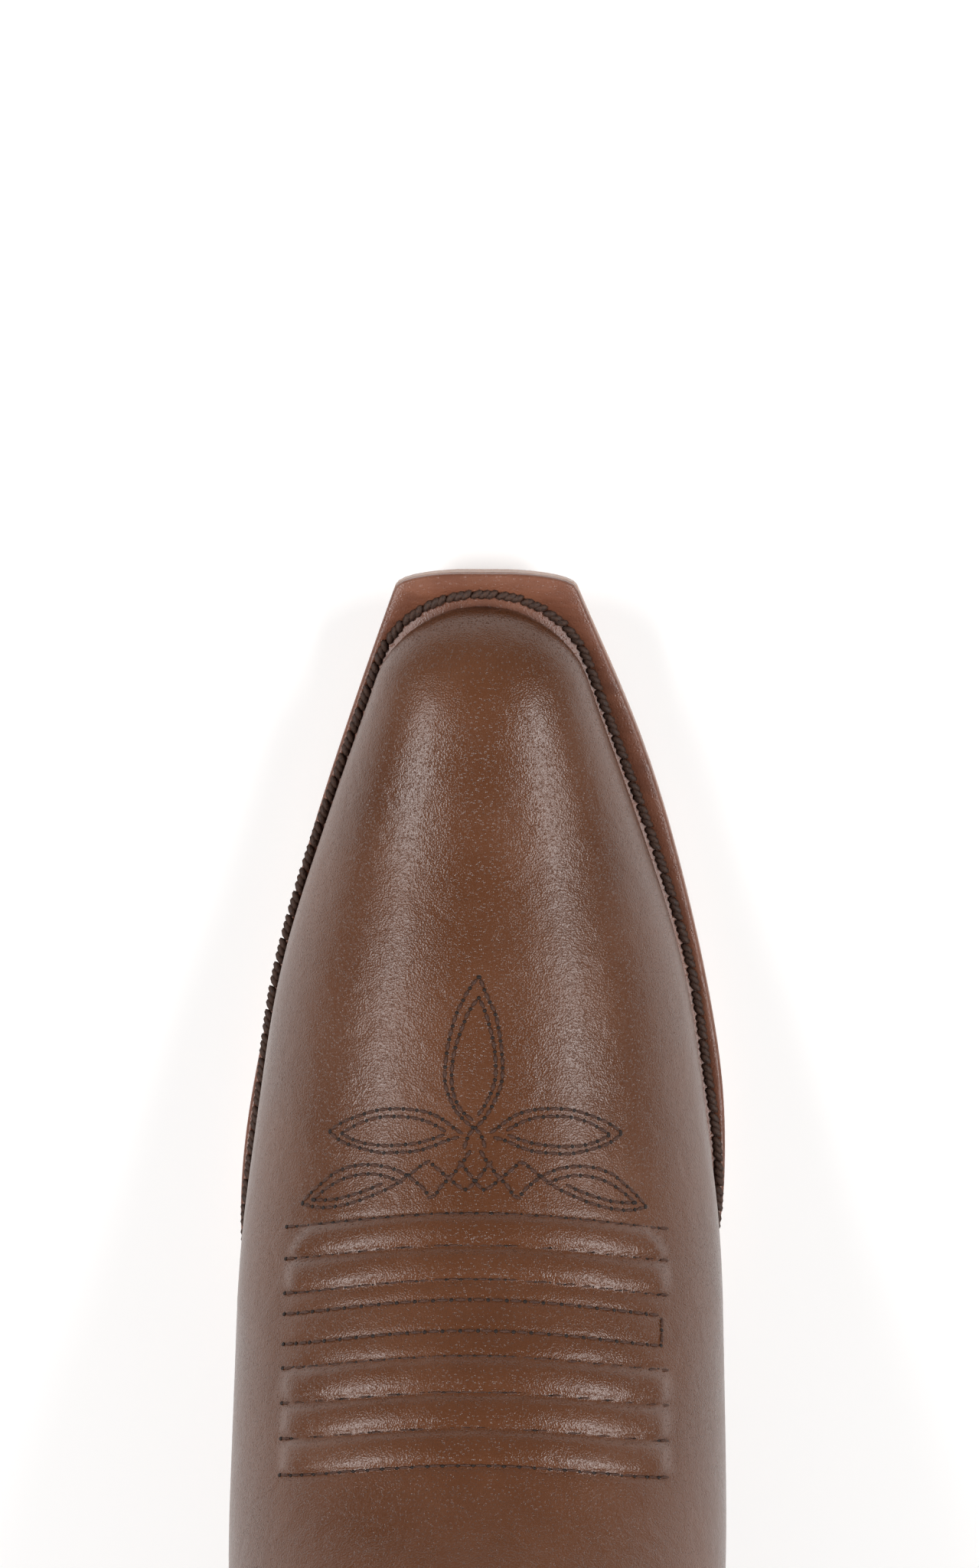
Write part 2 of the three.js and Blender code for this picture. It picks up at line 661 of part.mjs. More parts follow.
function nail(x, y, clearance) {
  const shaft = new THREE.CylinderGeometry(nailRadius + clearance, nailRadius + clearance, nailLength + clearance, 10);
  shaft.rotateX(Math.PI / 2).translate(x, y, (nailLength + clearance) / 2);
  return shaft;
}

function addHeel() {
  const nailPlaces = [[-17, 22], [17, 22], [-18, 40], [18, 40], [0, 17], [0, 46]].map(([x, y]) => [
    x * gradeX,
    y * gradeY,
  ]);
  const sunk = 0.2; // nail heads lie just inside the tread
  const holes = nailPlaces.map(([x, y]) => solidFromGeometry(nail(x, y, gap).translate(0, 0, -0.1)));
  const drilled = (solid) => holes.reduce((left, hole) => left.subtract(hole), solid);
  const breastTop = underside(heelSeat) - gap;
  const wedgeHeight = 3.5;
  const liftTop = breastTop - wedgeHeight;
  const step = (liftTop - heelCapThickness) / heelLifts;
  add("heel_cap", drilled(heelSlab(() => 0, () => heelCapThickness)), blackRubber);
  for (let i = 0; i < heelLifts; i++) {
    const low = heelCapThickness + i * step + gap;
    const high = heelCapThickness + (i + 1) * step;
    const lift = heelSlab(() => low, () => high);
    add(`heel_lift_${i + 1}`, low < nailLength + gap ? drilled(lift) : lift, stackLeather);
  }
  const under = (share) => underside(heelSeat * share) - gap - 0.15;
  add("heel_wedge", heelSlab(() => liftTop + gap, under), stackLeather);
  nailPlaces.forEach(([x, y], i) => {
    add(`heel_nail_${i + 1}`, solidFromGeometry(nail(x, y, 0).translate(0, 0, sunk)), brass);
  });
}

// ---------------------------------------------------------------- upper
function addUpper() {
  const outer = layer(0, vampLeather);
  const middle = layer(shaftOut, shaftIn);
  const inner = layer(liningOut, liningIn);

  const vampLine = [[waistSeam, farBelow], ...vampTop, [farFront, farAbove], [farFront, farBelow]];
  const counterLine = [
    [waistSeam - seamGap, farBelow],
    ...shifted(counterTop, -seamGap, 0),
    [farBack, counterTop.at(-1)[1]],
    [farBack, farBelow],
  ];
  add("vamp", outer.intersect(bar(vampLine)), brownCalf);
  add("counter_cover", outer.intersect(bar(counterLine)), brownCalf);

  const shaft = middle.intersect(bar(above(shaftLow))).intersect(bar(below(collarEdge(0))));
  const seamTop = seamAt(farAbove);
  const seamLow = seamAt(farBelow);
  const frontOf = [seamLow, [farFront, farBelow], [farFront, farAbove], seamTop];
  const rearOf = [[farBack, farBelow], seamAt(farBelow, -seamGap), seamAt(farAbove, -seamGap), [farBack, farAbove]];
  add("shaft_front", shaft.intersect(bar(frontOf)), brownCalf);
  add("shaft_back", shaft.intersect(bar(rearOf)), brownCalf);

  // Between the counter cover and its lining: the stiff heel cup, under the shaft's lower edge.
  const stiffFront = waistSeam - seamLap;
  const stiffTop = shifted(counterTop, 0, -seamLap - 1).filter(([y]) => y < stiffFront);
  const stiffLine = [[stiffFront, farBelow], [stiffFront, stiffTop[0][1]], ...stiffTop, [farBack, stiffTop.at(-1)[1]], [farBack, farBelow]];
  add("heel_stiffener", middle.intersect(bar(stiffLine)), stiffener);
  const puffBack = 252 * gradeY;
  add("toe_puff", middle.intersect(bar([[puffBack, farBelow], [farFront, farBelow], [farFront, farAbove], [puffBack, farAbove]])), stiffener);

  // Cords that raise the stitched ridges across the instep.
  const cordReach = 30 * gradeX;
  cordRows.forEach((back, i) => {
    const y = back * gradeY;
    const slope = 34 * (Math.PI / 180);
    const [, top] = fromFan(toFan(y, 0)[0], 0);
    const z = Math.min(top, pivotZ) - ridge(toFan(y, featherZ(y) + 70)[0]);
    const ahead = [Math.cos(slope) * cordWidth * 0.5, -Math.sin(slope) * cordWidth * 0.5];
    const deep = [-Math.sin(slope) * 26, -Math.cos(slope) * 26];
    const high = [Math.sin(slope) * 12, Math.cos(slope) * 12];
    const corner = (a, b) => [y + a[0] + b[0], z + a[1] + b[1]];
    const behind = [-ahead[0], -ahead[1]];
    const line = [corner(ahead, deep), corner(ahead, high), corner(behind, high), corner(behind, deep)];
    add(`wrinkle_cord_${i + 1}`, middle.intersect(bar(line, -cordReach, cordReach)), cotton);
  });

  // Linings: one for the foot, one for the heel and one for each half of the shaft.
  const footLining = edge([[58, 38], [75, 44], [92, 52], [99, 72], [100, 95], [102, 112], [125, 124]]);
  const heelLining = edge([[58, 38], [40, 46], [20, 62], [0, 72], [-20, 74]]);
  const liningLow = [...[...heelLining].reverse(), ...footLining.slice(1)];
  const liningWaist = 58 * gradeY;
  add("vamp_lining", inner.intersect(bar([[liningWaist, farBelow], ...footLining, [farFront, farAbove], [farFront, farBelow]])), tanLining);
  add("counter_lining", inner.intersect(bar([[liningWaist - seamGap, farBelow], ...shifted(heelLining, -seamGap, 0), [farBack, farBelow]])), tanLining);
  const shaftLining = inner.intersect(bar(above(shifted(liningLow, -0.4, 0.7)))).intersect(bar(below(collarEdge(0))));
  add("shaft_lining_front", shaftLining.intersect(bar(frontOf)), tanLining);
  add("shaft_lining_back", shaftLining.intersect(bar(rearOf)), tanLining);
}

// Binding folded over the collar, piping down each side seam.
function addTrim() {
  const band = layer(bindingOuterOut, bindingInnerIn)
    .intersect(bar(above(collarEdge(bindingDepth))))
    .intersect(bar(below(collarEdge(-bindingLeather - gap))));
  const slot = layer(bindingOuterIn, bindingInnerOut).intersect(bar(below(collarEdge(-gap))));
  add("collar_binding", band.subtract(slot), brownCalf);

  const strip = layer(pipingOut, pipingIn);
  const pipingTop = collarHeight - bindingDepth - 1.5;
  const pipingLow = heelHeight + 49;
  const line = [
    seamAt(pipingLow, -pipingWidth / 2),
    seamAt(pipingLow, pipingWidth / 2),
    seamAt(pipingTop, pipingWidth / 2),
    seamAt(pipingTop, -pipingWidth / 2),
  ];
  add("piping_medial", strip.intersect(bar(line, 1, farSide)), brownCalf);
  add("piping_lateral", strip.intersect(bar(line, -farSide, -1)), brownCalf);
}

// The loop: an arch over the collar, bent in plan to follow the shaft.
function strapArch(hinge, side) {
  const foot = hinge + strapLift;
  const high = strapLoop - strapLift;
  const outOf = (y, inset) => halfWidth(...toFan(y, foot), inset, side);
  const wide = (outOf(highSide, strapOuterOut) - outOf(highSide, strapInnerIn)) / 2;
  const arch = (radius, top) => {
    const straight = top - radius;
    return Array.from({ length: 13 }, (_, i) => {
      const turn = (i / 12) * Math.PI;
      return new THREE.Vector2(radius * Math.cos(turn), straight + radius * Math.sin(turn));
    });
  };
  const full = wide + strapBulge;
  const outside = [new THREE.Vector2(wide, 0), ...arch(full, high), new THREE.Vector2(-wide, 0)];
  const thin = wide - strapLeather;
  const hollow = arch(full - strapLeather, high - strapLeather).reverse();
  const inside = [new THREE.Vector2(-thin, 0), ...hollow, new THREE.Vector2(thin, 0)];
  const shape = new THREE.Shape([...outside, ...inside]);
  const geometry = new THREE.ExtrudeGeometry(shape, { depth: strapWidth, steps: 4, bevelEnabled: false });
  const at = geometry.getAttribute("position");
  for (let i = 0; i < at.count; i++) {
    const y = highSide + strapWidth / 2 - at.getZ(i);
    const centre = (outOf(y, strapOuterOut) + outOf(y, strapInnerIn)) / 2;
    at.setXYZ(i, side * centre + at.getX(i), y, foot + at.getY(i));
  }
  return solidFromGeometry(geometry);
}

// Each pull strap: a tail sewn outside, a tail sewn inside, and the loop that leans over the collar.
function addPullStraps() {
  const hinge = collarHeight + bindingLeather + gap;
  const tailTop = hinge - 5.5 * Math.sin(strapSwing) - 0.5;
  const half = strapWidth / 2;
  const box = (low, high) => [[highSide - half, low], [highSide + half, low], [highSide + half, high], [highSide - half, high]];
  const outside = layer(strapOuterOut, strapOuterIn).intersect(bar(box(tailTop - strapTail, tailTop)));
  const inside = layer(strapInnerOut, strapInnerIn).intersect(bar(box(tailTop - strapTail, tailTop)));
  [["medial", 1, farSide], ["lateral", -farSide, -1]].forEach(([side, from, to]) => {
    const half = bar([[farBack, farBelow], [farFront, farBelow], [farFront, farAbove], [farBack, farAbove]], from, to);
    add(`pull_strap_${side}_outer_tail`, outside.intersect(half), brownCalf);
    add(`pull_strap_${side}_inner_tail`, inside.intersect(half), brownCalf);
    add(`pull_strap_${side}_loop`, strapArch(hinge, side === "medial" ? 1 : -1), brownCalf);
  });
}

addOutsole();
addWeltAndRand();
addInsole();
addFillers();
addHeel();
addUpper();
addTrim();
addPullStraps();

// Stand the boot on the floor with its outside box centred over the origin.
const box = new THREE.Box3().setFromObject(boot);
boot.position.set(-(box.min.x + box.max.x) / 2, -(box.min.y + box.max.y) / 2, -box.min.z);

export default boot;
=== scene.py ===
import math
from bisect import bisect_right

import bmesh
import bpy
from mathutils import Matrix, Vector


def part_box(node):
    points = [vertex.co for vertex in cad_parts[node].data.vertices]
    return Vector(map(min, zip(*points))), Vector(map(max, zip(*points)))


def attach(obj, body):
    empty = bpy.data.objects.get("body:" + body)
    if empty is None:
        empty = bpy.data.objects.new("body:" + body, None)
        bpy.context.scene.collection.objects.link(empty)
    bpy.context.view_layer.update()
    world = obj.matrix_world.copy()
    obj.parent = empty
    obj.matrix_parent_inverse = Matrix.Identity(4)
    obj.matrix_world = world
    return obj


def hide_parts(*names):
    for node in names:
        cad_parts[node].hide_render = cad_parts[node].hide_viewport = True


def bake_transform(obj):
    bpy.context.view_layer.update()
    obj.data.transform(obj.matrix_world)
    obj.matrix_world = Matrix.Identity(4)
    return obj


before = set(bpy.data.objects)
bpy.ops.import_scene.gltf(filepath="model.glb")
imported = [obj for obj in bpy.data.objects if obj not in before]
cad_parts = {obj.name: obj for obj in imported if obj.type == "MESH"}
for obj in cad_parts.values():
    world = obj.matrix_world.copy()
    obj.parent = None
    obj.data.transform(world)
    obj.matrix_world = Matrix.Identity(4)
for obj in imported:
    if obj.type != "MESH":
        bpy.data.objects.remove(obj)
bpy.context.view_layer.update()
print("frame loaded")

# The last: the same numbers as the frame was cut from.
last = {
    "length": 298.0,
    "heelHeight": 41.0,
    "toeSpring": 13.0,
    "outsole": 5.0,
    "welt": 3.0,
    "seam": 0.5,
    "collar": 335.0,
    "scallop": 36.0,
    "upperTip": 291.5,
    "toeDepth": 14.0,
    "noseDepth": 22.0,
    "pivot": (158.0, 168.0),
    "quarter": 117.0,
    "crown": 2.25,
}
layers = {  # how far in each leather lies from the vamp's face, outside and inside
    "vamp": (0.0, 1.4),
    "shaft": (1.7, 3.1),
    "lining": (3.4, 4.5),
}
ankle = last["pivot"][1] - last["heelHeight"]  # the pivot, over the underside of the sole
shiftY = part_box("outsole")[1].y * 1000 - (last["length"] - 0.1)


def toFrame(point):
    return Vector((point[0], point[1] + shiftY, point[2])) / 1000


def spline(points):  # a natural cubic, running on straight past its ends
    xs = [p[0] for p in points]
    ys = [p[1] for p in points]
    n = len(xs)
    bend = [0.0] * n
    carry = [0.0] * n
    for i in range(1, n - 1):
        left, right = xs[i] - xs[i - 1], xs[i + 1] - xs[i]
        share = left / (left + right)
        divisor = share * bend[i - 1] + 2
        slopes = (ys[i + 1] - ys[i]) / right - (ys[i] - ys[i - 1]) / left
        bend[i] = (share - 1) / divisor
        carry[i] = (6 * slopes / (left + right) - share * carry[i - 1]) / divisor
    for i in range(n - 2, -1, -1):
        bend[i] = bend[i] * bend[i + 1] + carry[i]

    def read(x):
        k = min(max(bisect_right(xs, x), 1), n - 1)
        step = xs[k] - xs[k - 1]
        rise = (ys[k] - ys[k - 1]) / step
        if x < xs[0]:
            return ys[0] + (rise - (2 * bend[0] + bend[1]) * step / 6) * (x - xs[0])
        if x > xs[-1]:
            return ys[-1] + (rise + (bend[-2] + 2 * bend[-1]) * step / 6) * (x - xs[-1])
        a, b = (xs[k] - x) / step, (x - xs[k - 1]) / step
        cubic = (a**3 - a) * bend[k - 1] + (b**3 - b) * bend[k]
        return a * ys[k - 1] + b * ys[k] + cubic * step * step / 6

    return read


def steady(points):  # a cubic that never overshoots
    xs = [p[0] for p in points]
    ys = [p[1] for p in points]
    slopes = [(ys[i + 1] - ys[i]) / (xs[i + 1] - xs[i]) for i in range(len(xs) - 1)]
    turn = [slopes[0]]
    for a, b in zip(slopes, slopes[1:]):
        turn.append(0 if a * b <= 0 else 2 * a * b / (a + b))
    turn.append(slopes[-1])

    def read(x):
        k = min(max(bisect_right(xs, x) - 1, 0), len(xs) - 2)
        step = xs[k + 1] - xs[k]
        t = min(max((x - xs[k]) / step, 0), 1)
        start = ys[k] * (1 + 2 * t) * (1 - t) ** 2
        end = ys[k + 1] * t * t * (3 - 2 * t)
        return start + end + step * t * (1 - t) * (turn[k] * (1 - t) - turn[k + 1] * t)

    return read


def rounded(distance, depth, power):
    left = 1 - min(max(distance / depth, 0), 1)
    return (1 - left**power) ** (1 / power)


def crossing(f, low, high, steps=40):
    for _ in range(steps):
        middle = (low + high) / 2
        if f(middle) > 0:
            high = middle
        else:
            low = middle
    return (low + high) / 2


heelRise = steady(
    [
        (0, 1), (30, 0.963), (62, 0.89), (85, 0.72), (110, 0.45), (140, 0.17), (168, 0.02),
        (177, 0), (206, 0)
    ]
)
toeRise = steady([(206, 0), (240, 0.2), (270, 0.55), (298, 1)])


def underside(y):
    return heelRise(y) * last["heelHeight"] if y < 190 else toeRise(y) * last["toeSpring"]


def featherZ(y):
    return underside(y) + last["outsole"] + last["welt"] + last["seam"]


soleLateral = spline(
    [
        (0, 31.5), (30, 32.5), (60, 32), (85, 32.5), (110, 36.5), (135, 43), (157, 48),
        (172, 48.6), (187, 47.1), (208, 43.1), (237.5, 36.1), (266.6, 27), (288.5, 19.4),
        (298, 16)
    ]
)
soleMedial = spline(
    [
        (0, 31.5), (30, 32), (60, 30.5), (85, 28.5), (105, 29.5), (125, 34), (145, 41.5),
        (165, 47.3), (180, 48.3), (194, 47.7), (208.5, 45.6), (237.5, 39.2), (266.6, 30.3),
        (288.5, 21.2), (298, 17.2)
    ]
)
featherLateral = spline(
    [
        (0, 28), (30, 30), (60, 29.5), (85, 30), (110, 34), (135, 40), (155, 44.6), (170, 45.3),
        (182, 43.9), (198, 41.8), (213, 39.6), (228, 36), (258, 26.2), (273, 20.8), (284, 17),
        (291.5, 15)
    ]
)
featherMedial = spline(
    [
        (0, 28), (30, 29.5), (60, 28.5), (85, 27), (105, 28), (125, 32), (145, 38.5), (160, 43.2),
        (172, 44.8), (184, 44.2), (198, 42.2), (213, 40), (228, 36.4), (258, 26.4), (273, 21),
        (284, 17.2), (291.5, 15.2)
    ]
)


def toFan(y, z):
    pivotY, pivotZ = last["pivot"]
    if y >= pivotY:
        return pivotY - y, pivotZ - z
    if z >= pivotZ:
        return last["quarter"] + z - pivotZ, pivotY - y
    angle = math.atan2(pivotY - y, pivotZ - z)
    return angle / (math.pi / 2) * last["quarter"], math.hypot(pivotY - y, pivotZ - z)


def fromFan(along, down):
    pivotY, pivotZ = last["pivot"]
    if along <= 0:
        return pivotY - along, pivotZ - down
    if along >= last["quarter"]:
        return pivotY - down, pivotZ + along - last["quarter"]
    angle = along / last["quarter"] * (math.pi / 2)
    return pivotY - down * math.sin(angle), pivotZ - down * math.cos(angle)


# Heights of the ridge over the feather line, then over the heel, and the half widths there.
overFoot = [
    (291.5, 17), (284, 19.8), (273, 23.2), (258, 27.8), (243, 33), (228, 39.5), (213, 45.5),
    (198, 51.5), (182, 59), (170, 65.5), (158, 72.5)
]
overHeel = [
    (138.8, 55.5), (125, 69.8), (114.9, 83.9), (108.2, 98.3), (105.4, 112.9), (104.5, 127),
    (104, 159), (106, 209), (109, 259), (112, 299), (114, 330)
]
ridge = spline(
    [toFan(y, featherZ(y) + h) for y, h in overFoot] + [
        toFan(y, last["heelHeight"] + h) for y, h in overHeel
    ]
)
backLine = spline(
    [
        (last["heelHeight"] + h, y) for h,
        y in [
            (0, 4), (9, 2.5), (21, -0.5), (35, -1.5), (60, 0.6), (86, 5), (105, 5), (127, 2.5),
            (159, -3), (209, -14), (259, -25), (299, -32), (330, -37)
        ]
    ]
)
backDepth = spline(
    [
        (last["heelHeight"] + h, d) for h,
        d in [
            (0, 29), (39, 34), (69, 42), (99, 50), (127, 54), (159, 58), (209, 66), (259, 72),
            (330, 76)
        ]
    ]
)


def alongFoot(y):
    return last["pivot"][0] - y


def alongAnkle(degrees):
    return degrees / 90 * last["quarter"]


def alongShaft(height):
    return last["quarter"] + height - ankle


bodyWidth = spline(
    [
        (alongFoot(y), w) for y,
        w in [
            (291.5, 16.3), (284, 18.6), (273, 22.2), (258, 27.5), (243, 32.6), (228, 37.4),
            (213, 41), (198, 43.3), (182, 45.4), (167, 47), (158, 47.4)
        ]
    ]
    + [(alongAnkle(a), w) for a, w in [(15, 47.9), (30, 46.9), (45, 42), (60, 37.2), (75, 36.2)]]
    + [
        (alongShaft(h), w) for h,
        w in [(127, 37.8), (159, 40.8), (209, 45.6), (259, 49.6), (299, 52.2), (330, 53.6)]
    ]
)
frontDepth = spline(
    [
        (alongFoot(y), d) for y,
        d in [
            (291.5, 12), (284, 15), (273, 18.5), (258, 23), (228, 33), (198, 40), (182, 43),
            (158, 47)
        ]
    ]
    + [
        (alongAnkle(a), d) for a,
        d in [(15, 47), (30, 47), (45, 49), (60, 52), (75, 54), (90, 55)]
    ]
    + [(alongShaft(h), d) for h, d in [(159, 56), (209, 62), (259, 67), (330, 71)]]
)
tuckHeight = spline([(-133, 7), (-60, 10), (0, 22), (58, 26), (117, 26), (300, 26)])


def toeFill(y, inset):
    return rounded(last["upperTip"] - inset - y, last["toeDepth"], 2.2)


def noseFill(y, inset):
    return rounded(last["upperTip"] - inset - y, last["noseDepth"], 2)


def ridgeDown(along, inset):
    if along > 0:
        return ridge(along) + inset
    y = fromFan(along, 0)[0]
    full = last["pivot"][1] - ridge(along) - inset - featherZ(y)
    return last["pivot"][1] - featherZ(y) - full * noseFill(y, inset)


def solePoint(along):
    def under(down):
        y, z = fromFan(along, down)
        return featherZ(y) - z

    return crossing(under, 0, 400)


def backPoint(along, inset):
    def behind(down):
        y, z = fromFan(along, down)
        return backLine(z) + inset - y

    return crossing(behind, 0, 400)


def halfWidth(along, down, inset, side):
    y, z = fromFan(along, down)
    body = bodyWidth(along) - inset
    wall = body
    if z < last["pivot"][1]:
        foot = (featherMedial(y) if side > 0 else featherLateral(y)) - inset
        over = rounded(z - featherZ(y), tuckHeight(along), 2)
        wall = foot + (body - foot) * over
    toe = toeFill(y, inset) if along < 0 else 1
    depth = frontDepth(along) * (noseFill(y, inset) if along < 0 else 1)
    front = rounded(down - ridgeDown(along, inset), depth, last["crown"]) if depth > 0 else 0
    back = rounded(y - backLine(z) - inset, backDepth(z), 2.05)
    return max(0, wall * front * back * toe)


def sideWidth(y, z, inset=0, side=1):
    along, down = toFan(y, z)
    return halfWidth(along, down, inset, side)


def tipAlong(inset):
    return last["pivot"][0] - (last["upperTip"] - inset)


cornerAlong = {}


def cornerOf(inset):  # the section that runs from the ankle to the back corner of the heel seat
    if inset not in cornerAlong:
        cornerAlong[inset] = crossing(
            lambda a: solePoint(a) - backPoint(a, inset), 20, last["quarter"]
        )
    return cornerAlong[inset]


sectionEnds = {}


# t from -1 (medial edge) over the ridge to 1 (lateral edge)
def sectionPoint(along, t, inset, relief=0):
    closed = along > cornerOf(inset)
    key = (round(along, 4), inset)
    if key not in sectionEnds:
        sectionEnds[key] = backPoint(along, inset) if closed else solePoint(along)
    turn = abs(t) * (math.pi / 2)
    even = 1 if closed else min(max(along / last["quarter"], 0.25), 1)
    share = (1 - math.cos(turn)) * (1 - even) + (1 - math.cos(2 * turn)) / 2 * even
    top = ridgeDown(along, inset - relief)
    down = top + (sectionEnds[key] - top) * share
    y, z = fromFan(along, down)
    side = 1 if t < 0 else -1
    if abs(t) < 1e-9 or (closed and abs(t) > 1 - 1e-9):
        return Vector((0, y, z))
    return Vector((side * halfWidth(along, down, inset - relief, side), y, z))


# Cutting and laying leather: a panel starts as a flat grid of (across, along). It is trimmed there, then laid on the last.
def cutGrid(across, alongs, keep):
    bm = bmesh.new()
    rows = len(alongs) - 1
    bmesh.ops.create_grid(bm, x_segments=across, y_segments=rows, size=0.5)

    def flat(co):
        step = min(max((co.y + 0.5) * rows, 0), rows)
        k = min(int(step), rows - 1)
        return (co.x + 0.5) * 2 - 1, alongs[k] + (alongs[k + 1] - alongs[k]) * (step - k)

    trimGrid(bm, lambda co: keep(*flat(co)))
    return bm, flat


def trimGrid(bm, keep):
    value = {v: keep(v.co) for v in bm.verts}
    for edge in list(bm.edges):
        a, b = edge.verts
        if (value[a] > 0) == (value[b] > 0):
            continue
        start, end = a.co.copy(), b.co.copy()
        rising = 1 if value[b] > 0 else -1
        share = crossing(lambda s: rising * keep(start.lerp(end, s)), 0, 1, 14)
        share = min(max(share, 0.02), 0.98)
        new = bmesh.utils.edge_split(edge, a, share)[1]
        value[new] = 0.0
    for face in list(bm.faces):
        onLine = [v for v in face.verts if value[v] == 0.0]
        if len(onLine) == 2 and not any(onLine[1] in e.verts for e in onLine[0].link_edges):
            bmesh.utils.face_split(face, onLine[0], onLine[1])
    spare = [f for f in bm.faces if any(value[v] < 0 for v in f.verts)]
    bmesh.ops.delete(bm, geom=spare, context="FACES")
    loose = [v for v in bm.verts if not v.link_faces]
    bmesh.ops.delete(bm, geom=loose, context="VERTS")


def layPanel(name, across, alongs, layer, keep, relief=None):
    outer, inner = layers[layer]
    bm, flat = cutGrid(across, alongs, keep)
    for v in bm.verts:
        t, along = flat(v.co)
        point = sectionPoint(along, t, outer)
        if relief:
            point = sectionPoint(along, t, outer, relief(point))
        v.co = toFrame(point)
    bmesh.ops.remove_doubles(bm, verts=bm.verts, dist=2e-5)
    smoothAll(bm)
    piece = fromMesh(name, bm)
    thicken(piece, inner - outer)
    return piece


def smoothAll(bm):
    for face in bm.faces:
        face.smooth = True


def thicken(piece, thickness, even=False):
    wall = piece.modifiers.new("Thickness", "SOLIDIFY")
    wall.thickness = thickness / 1000
    wall.offset = -1
    wall.use_even_offset = even


def fromMesh(name, bm):
    mesh = bpy.data.meshes.new(name)
    bm.to_mesh(mesh)
    bm.free()
    piece = bpy.data.objects.new(name, mesh)
    bpy.context.scene.collection.objects.link(piece)
    return piece


def paint(piece, material):
    piece.data.materials.clear()
    piece.data.materials.append(material)


def dress(piece, material, slotName, *nodes):
    paint(piece, material)
    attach(piece, "boot")
    if nodes:
        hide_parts(*nodes)
    return piece


def inside(polygon, y, z):  # signed distance to an outline in the side view, positive inside
    best = 1e9
    odd = False
    for i, (ay, az) in enumerate(polygon):
        by, bz = polygon[i - 1]
        dy, dz = by - ay, bz - az
        size = dy * dy + dz * dz
        s = min(max(((y - ay) * dy + (z - az) * dz) / size, 0), 1) if size else 0
        best = min(best, (y - ay - dy * s) ** 2 + (z - az - dz * s) ** 2)
        if (az > z) != (bz > z) and y < ay + (z - az) / (bz - az) * (by - ay):
            odd = not odd
    return math.sqrt(best) if odd else -math.sqrt(best)


def curveThrough(points, pieces):  # a smooth line through a few places (Catmull-Rom, as cut)
    out = []
    n = len(points)
    total = pieces * 4
    for i in range(total + 1):
        p = (n - 1) * i / total
        k = min(int(p), n - 2)
        s = p - k
        p0, p1, p2, p3 = points[max(k - 1, 0)], points[k], points[k + 1], points[min(k + 2, n - 1)]
        place = []
        for a, b, c, d in zip(p0, p1, p2, p3):
            v0, v1 = (c - a) * 0.5, (d - b) * 0.5
            place.append(
                (2 * b - 2 * c + v0 + v1) * s**3 + (
                    -3 * b + 3 * c - 2 * v0 - v1
                ) * s * s + v0 * s + b
            )
        out.append(tuple(place))
    return out


def spaced(low, high, step):
    count = max(2, round((high - low) / step))
    return [low + (high - low) * i / count for i in range(count + 1)]


# Thread: each stitch is a small twisted bead lying along its seam.
def walk(points, pitch, lead=0.5):  # places evenly spaced along a line of (point, normal)
    gone = [0.0]
    for (a, _), (b, _) in zip(points, points[1:]):
        gone.append(gone[-1] + (b - a).length)
    count = max(1, round(gone[-1] / pitch))
    step = gone[-1] / count
    out = []
    k = 0
    for i in range(count):
        want = (i + lead) * step
        while k < len(gone) - 2 and gone[k + 1] < want:
            k += 1
        s = (want - gone[k]) / max(gone[k + 1] - gone[k], 1e-9)
        (a, an), (b, bn) = points[k], points[k + 1]
        out.append((a.lerp(b, s), an.lerp(bn, s).normalized(), (b - a).normalized(), step))
    return out


def addBeads(bm, places, size):  # small spheres, made a few dozen at a time to stay quick
    for start in range(0, len(places), 40):
        few = bmesh.new()
        for place in places[start : start + 40]:
            bmesh.ops.create_uvsphere(
                few, u_segments=size[0], v_segments=size[1], radius=0.001, matrix=place
            )
        mesh = bpy.data.meshes.new("few")
        few.to_mesh(mesh)
        few.free()
        bm.from_mesh(mesh)
        bpy.data.meshes.remove(mesh)


def sew(bm, points, thread, size=(6, 4)):
    places = []
    for place, up, forward, step in walk(points, thread["pitch"]):
        across = up.cross(forward).normalized()
        up = forward.cross(across)
        strands = thread.get("strands", 1)
        length = step * thread["fill"] / 2
        for s in range(strands):
            shift = (s - (strands - 1) / 2) * length * 2 / (strands + 0.6)
            lean = thread.get("twist", 0.0)
            run = (forward * math.cos(lean) + across * math.sin(lean)).normalized()
            wide = up.cross(run)
            reach = length / (1 if strands == 1 else strands * 0.62)
            turnTo = Matrix((run, wide, up)).transposed().to_4x4()
            grow = Matrix.Diagonal((reach, thread["wide"] / 2, thread["high"] / 2, 1))
            centre = place + forward * shift + up * thread["proud"]
            places.append(Matrix.Translation(toFrame(centre)) @ turnTo @ grow)
    addBeads(bm, places, size)


def threadPiece(name, runs, thread, material, slotName, size=(6, 4)):
    bm = bmesh.new()
    for run in runs:
        sew(bm, run, thread, size)
    smoothAll(bm)
    return dress(fromMesh(name, bm), material, slotName)


def fromAbove(x, y, inset=0.0):  # the place on the upper over a point in plan
    side = 1 if x >= 0 else -1
    top = ridgeTop(y, inset)

    def wider(drop):
        return sideWidth(y, top - drop, inset, side) - abs(x)

    z = top - crossing(wider, 0, max(top - featherZ(y) - 6, 4), 26)
    return Vector((x, y, z))


ridgeTops = {}


def ridgeTop(y, inset):
    key = (round(y, 2), inset)
    if key not in ridgeTops:
        def over(drop):
            along, down = toFan(y, 200 - drop)
            return down - ridgeDown(along, inset)

        ridgeTops[key] = 200 - crossing(over, 0, 190)
    return ridgeTops[key]


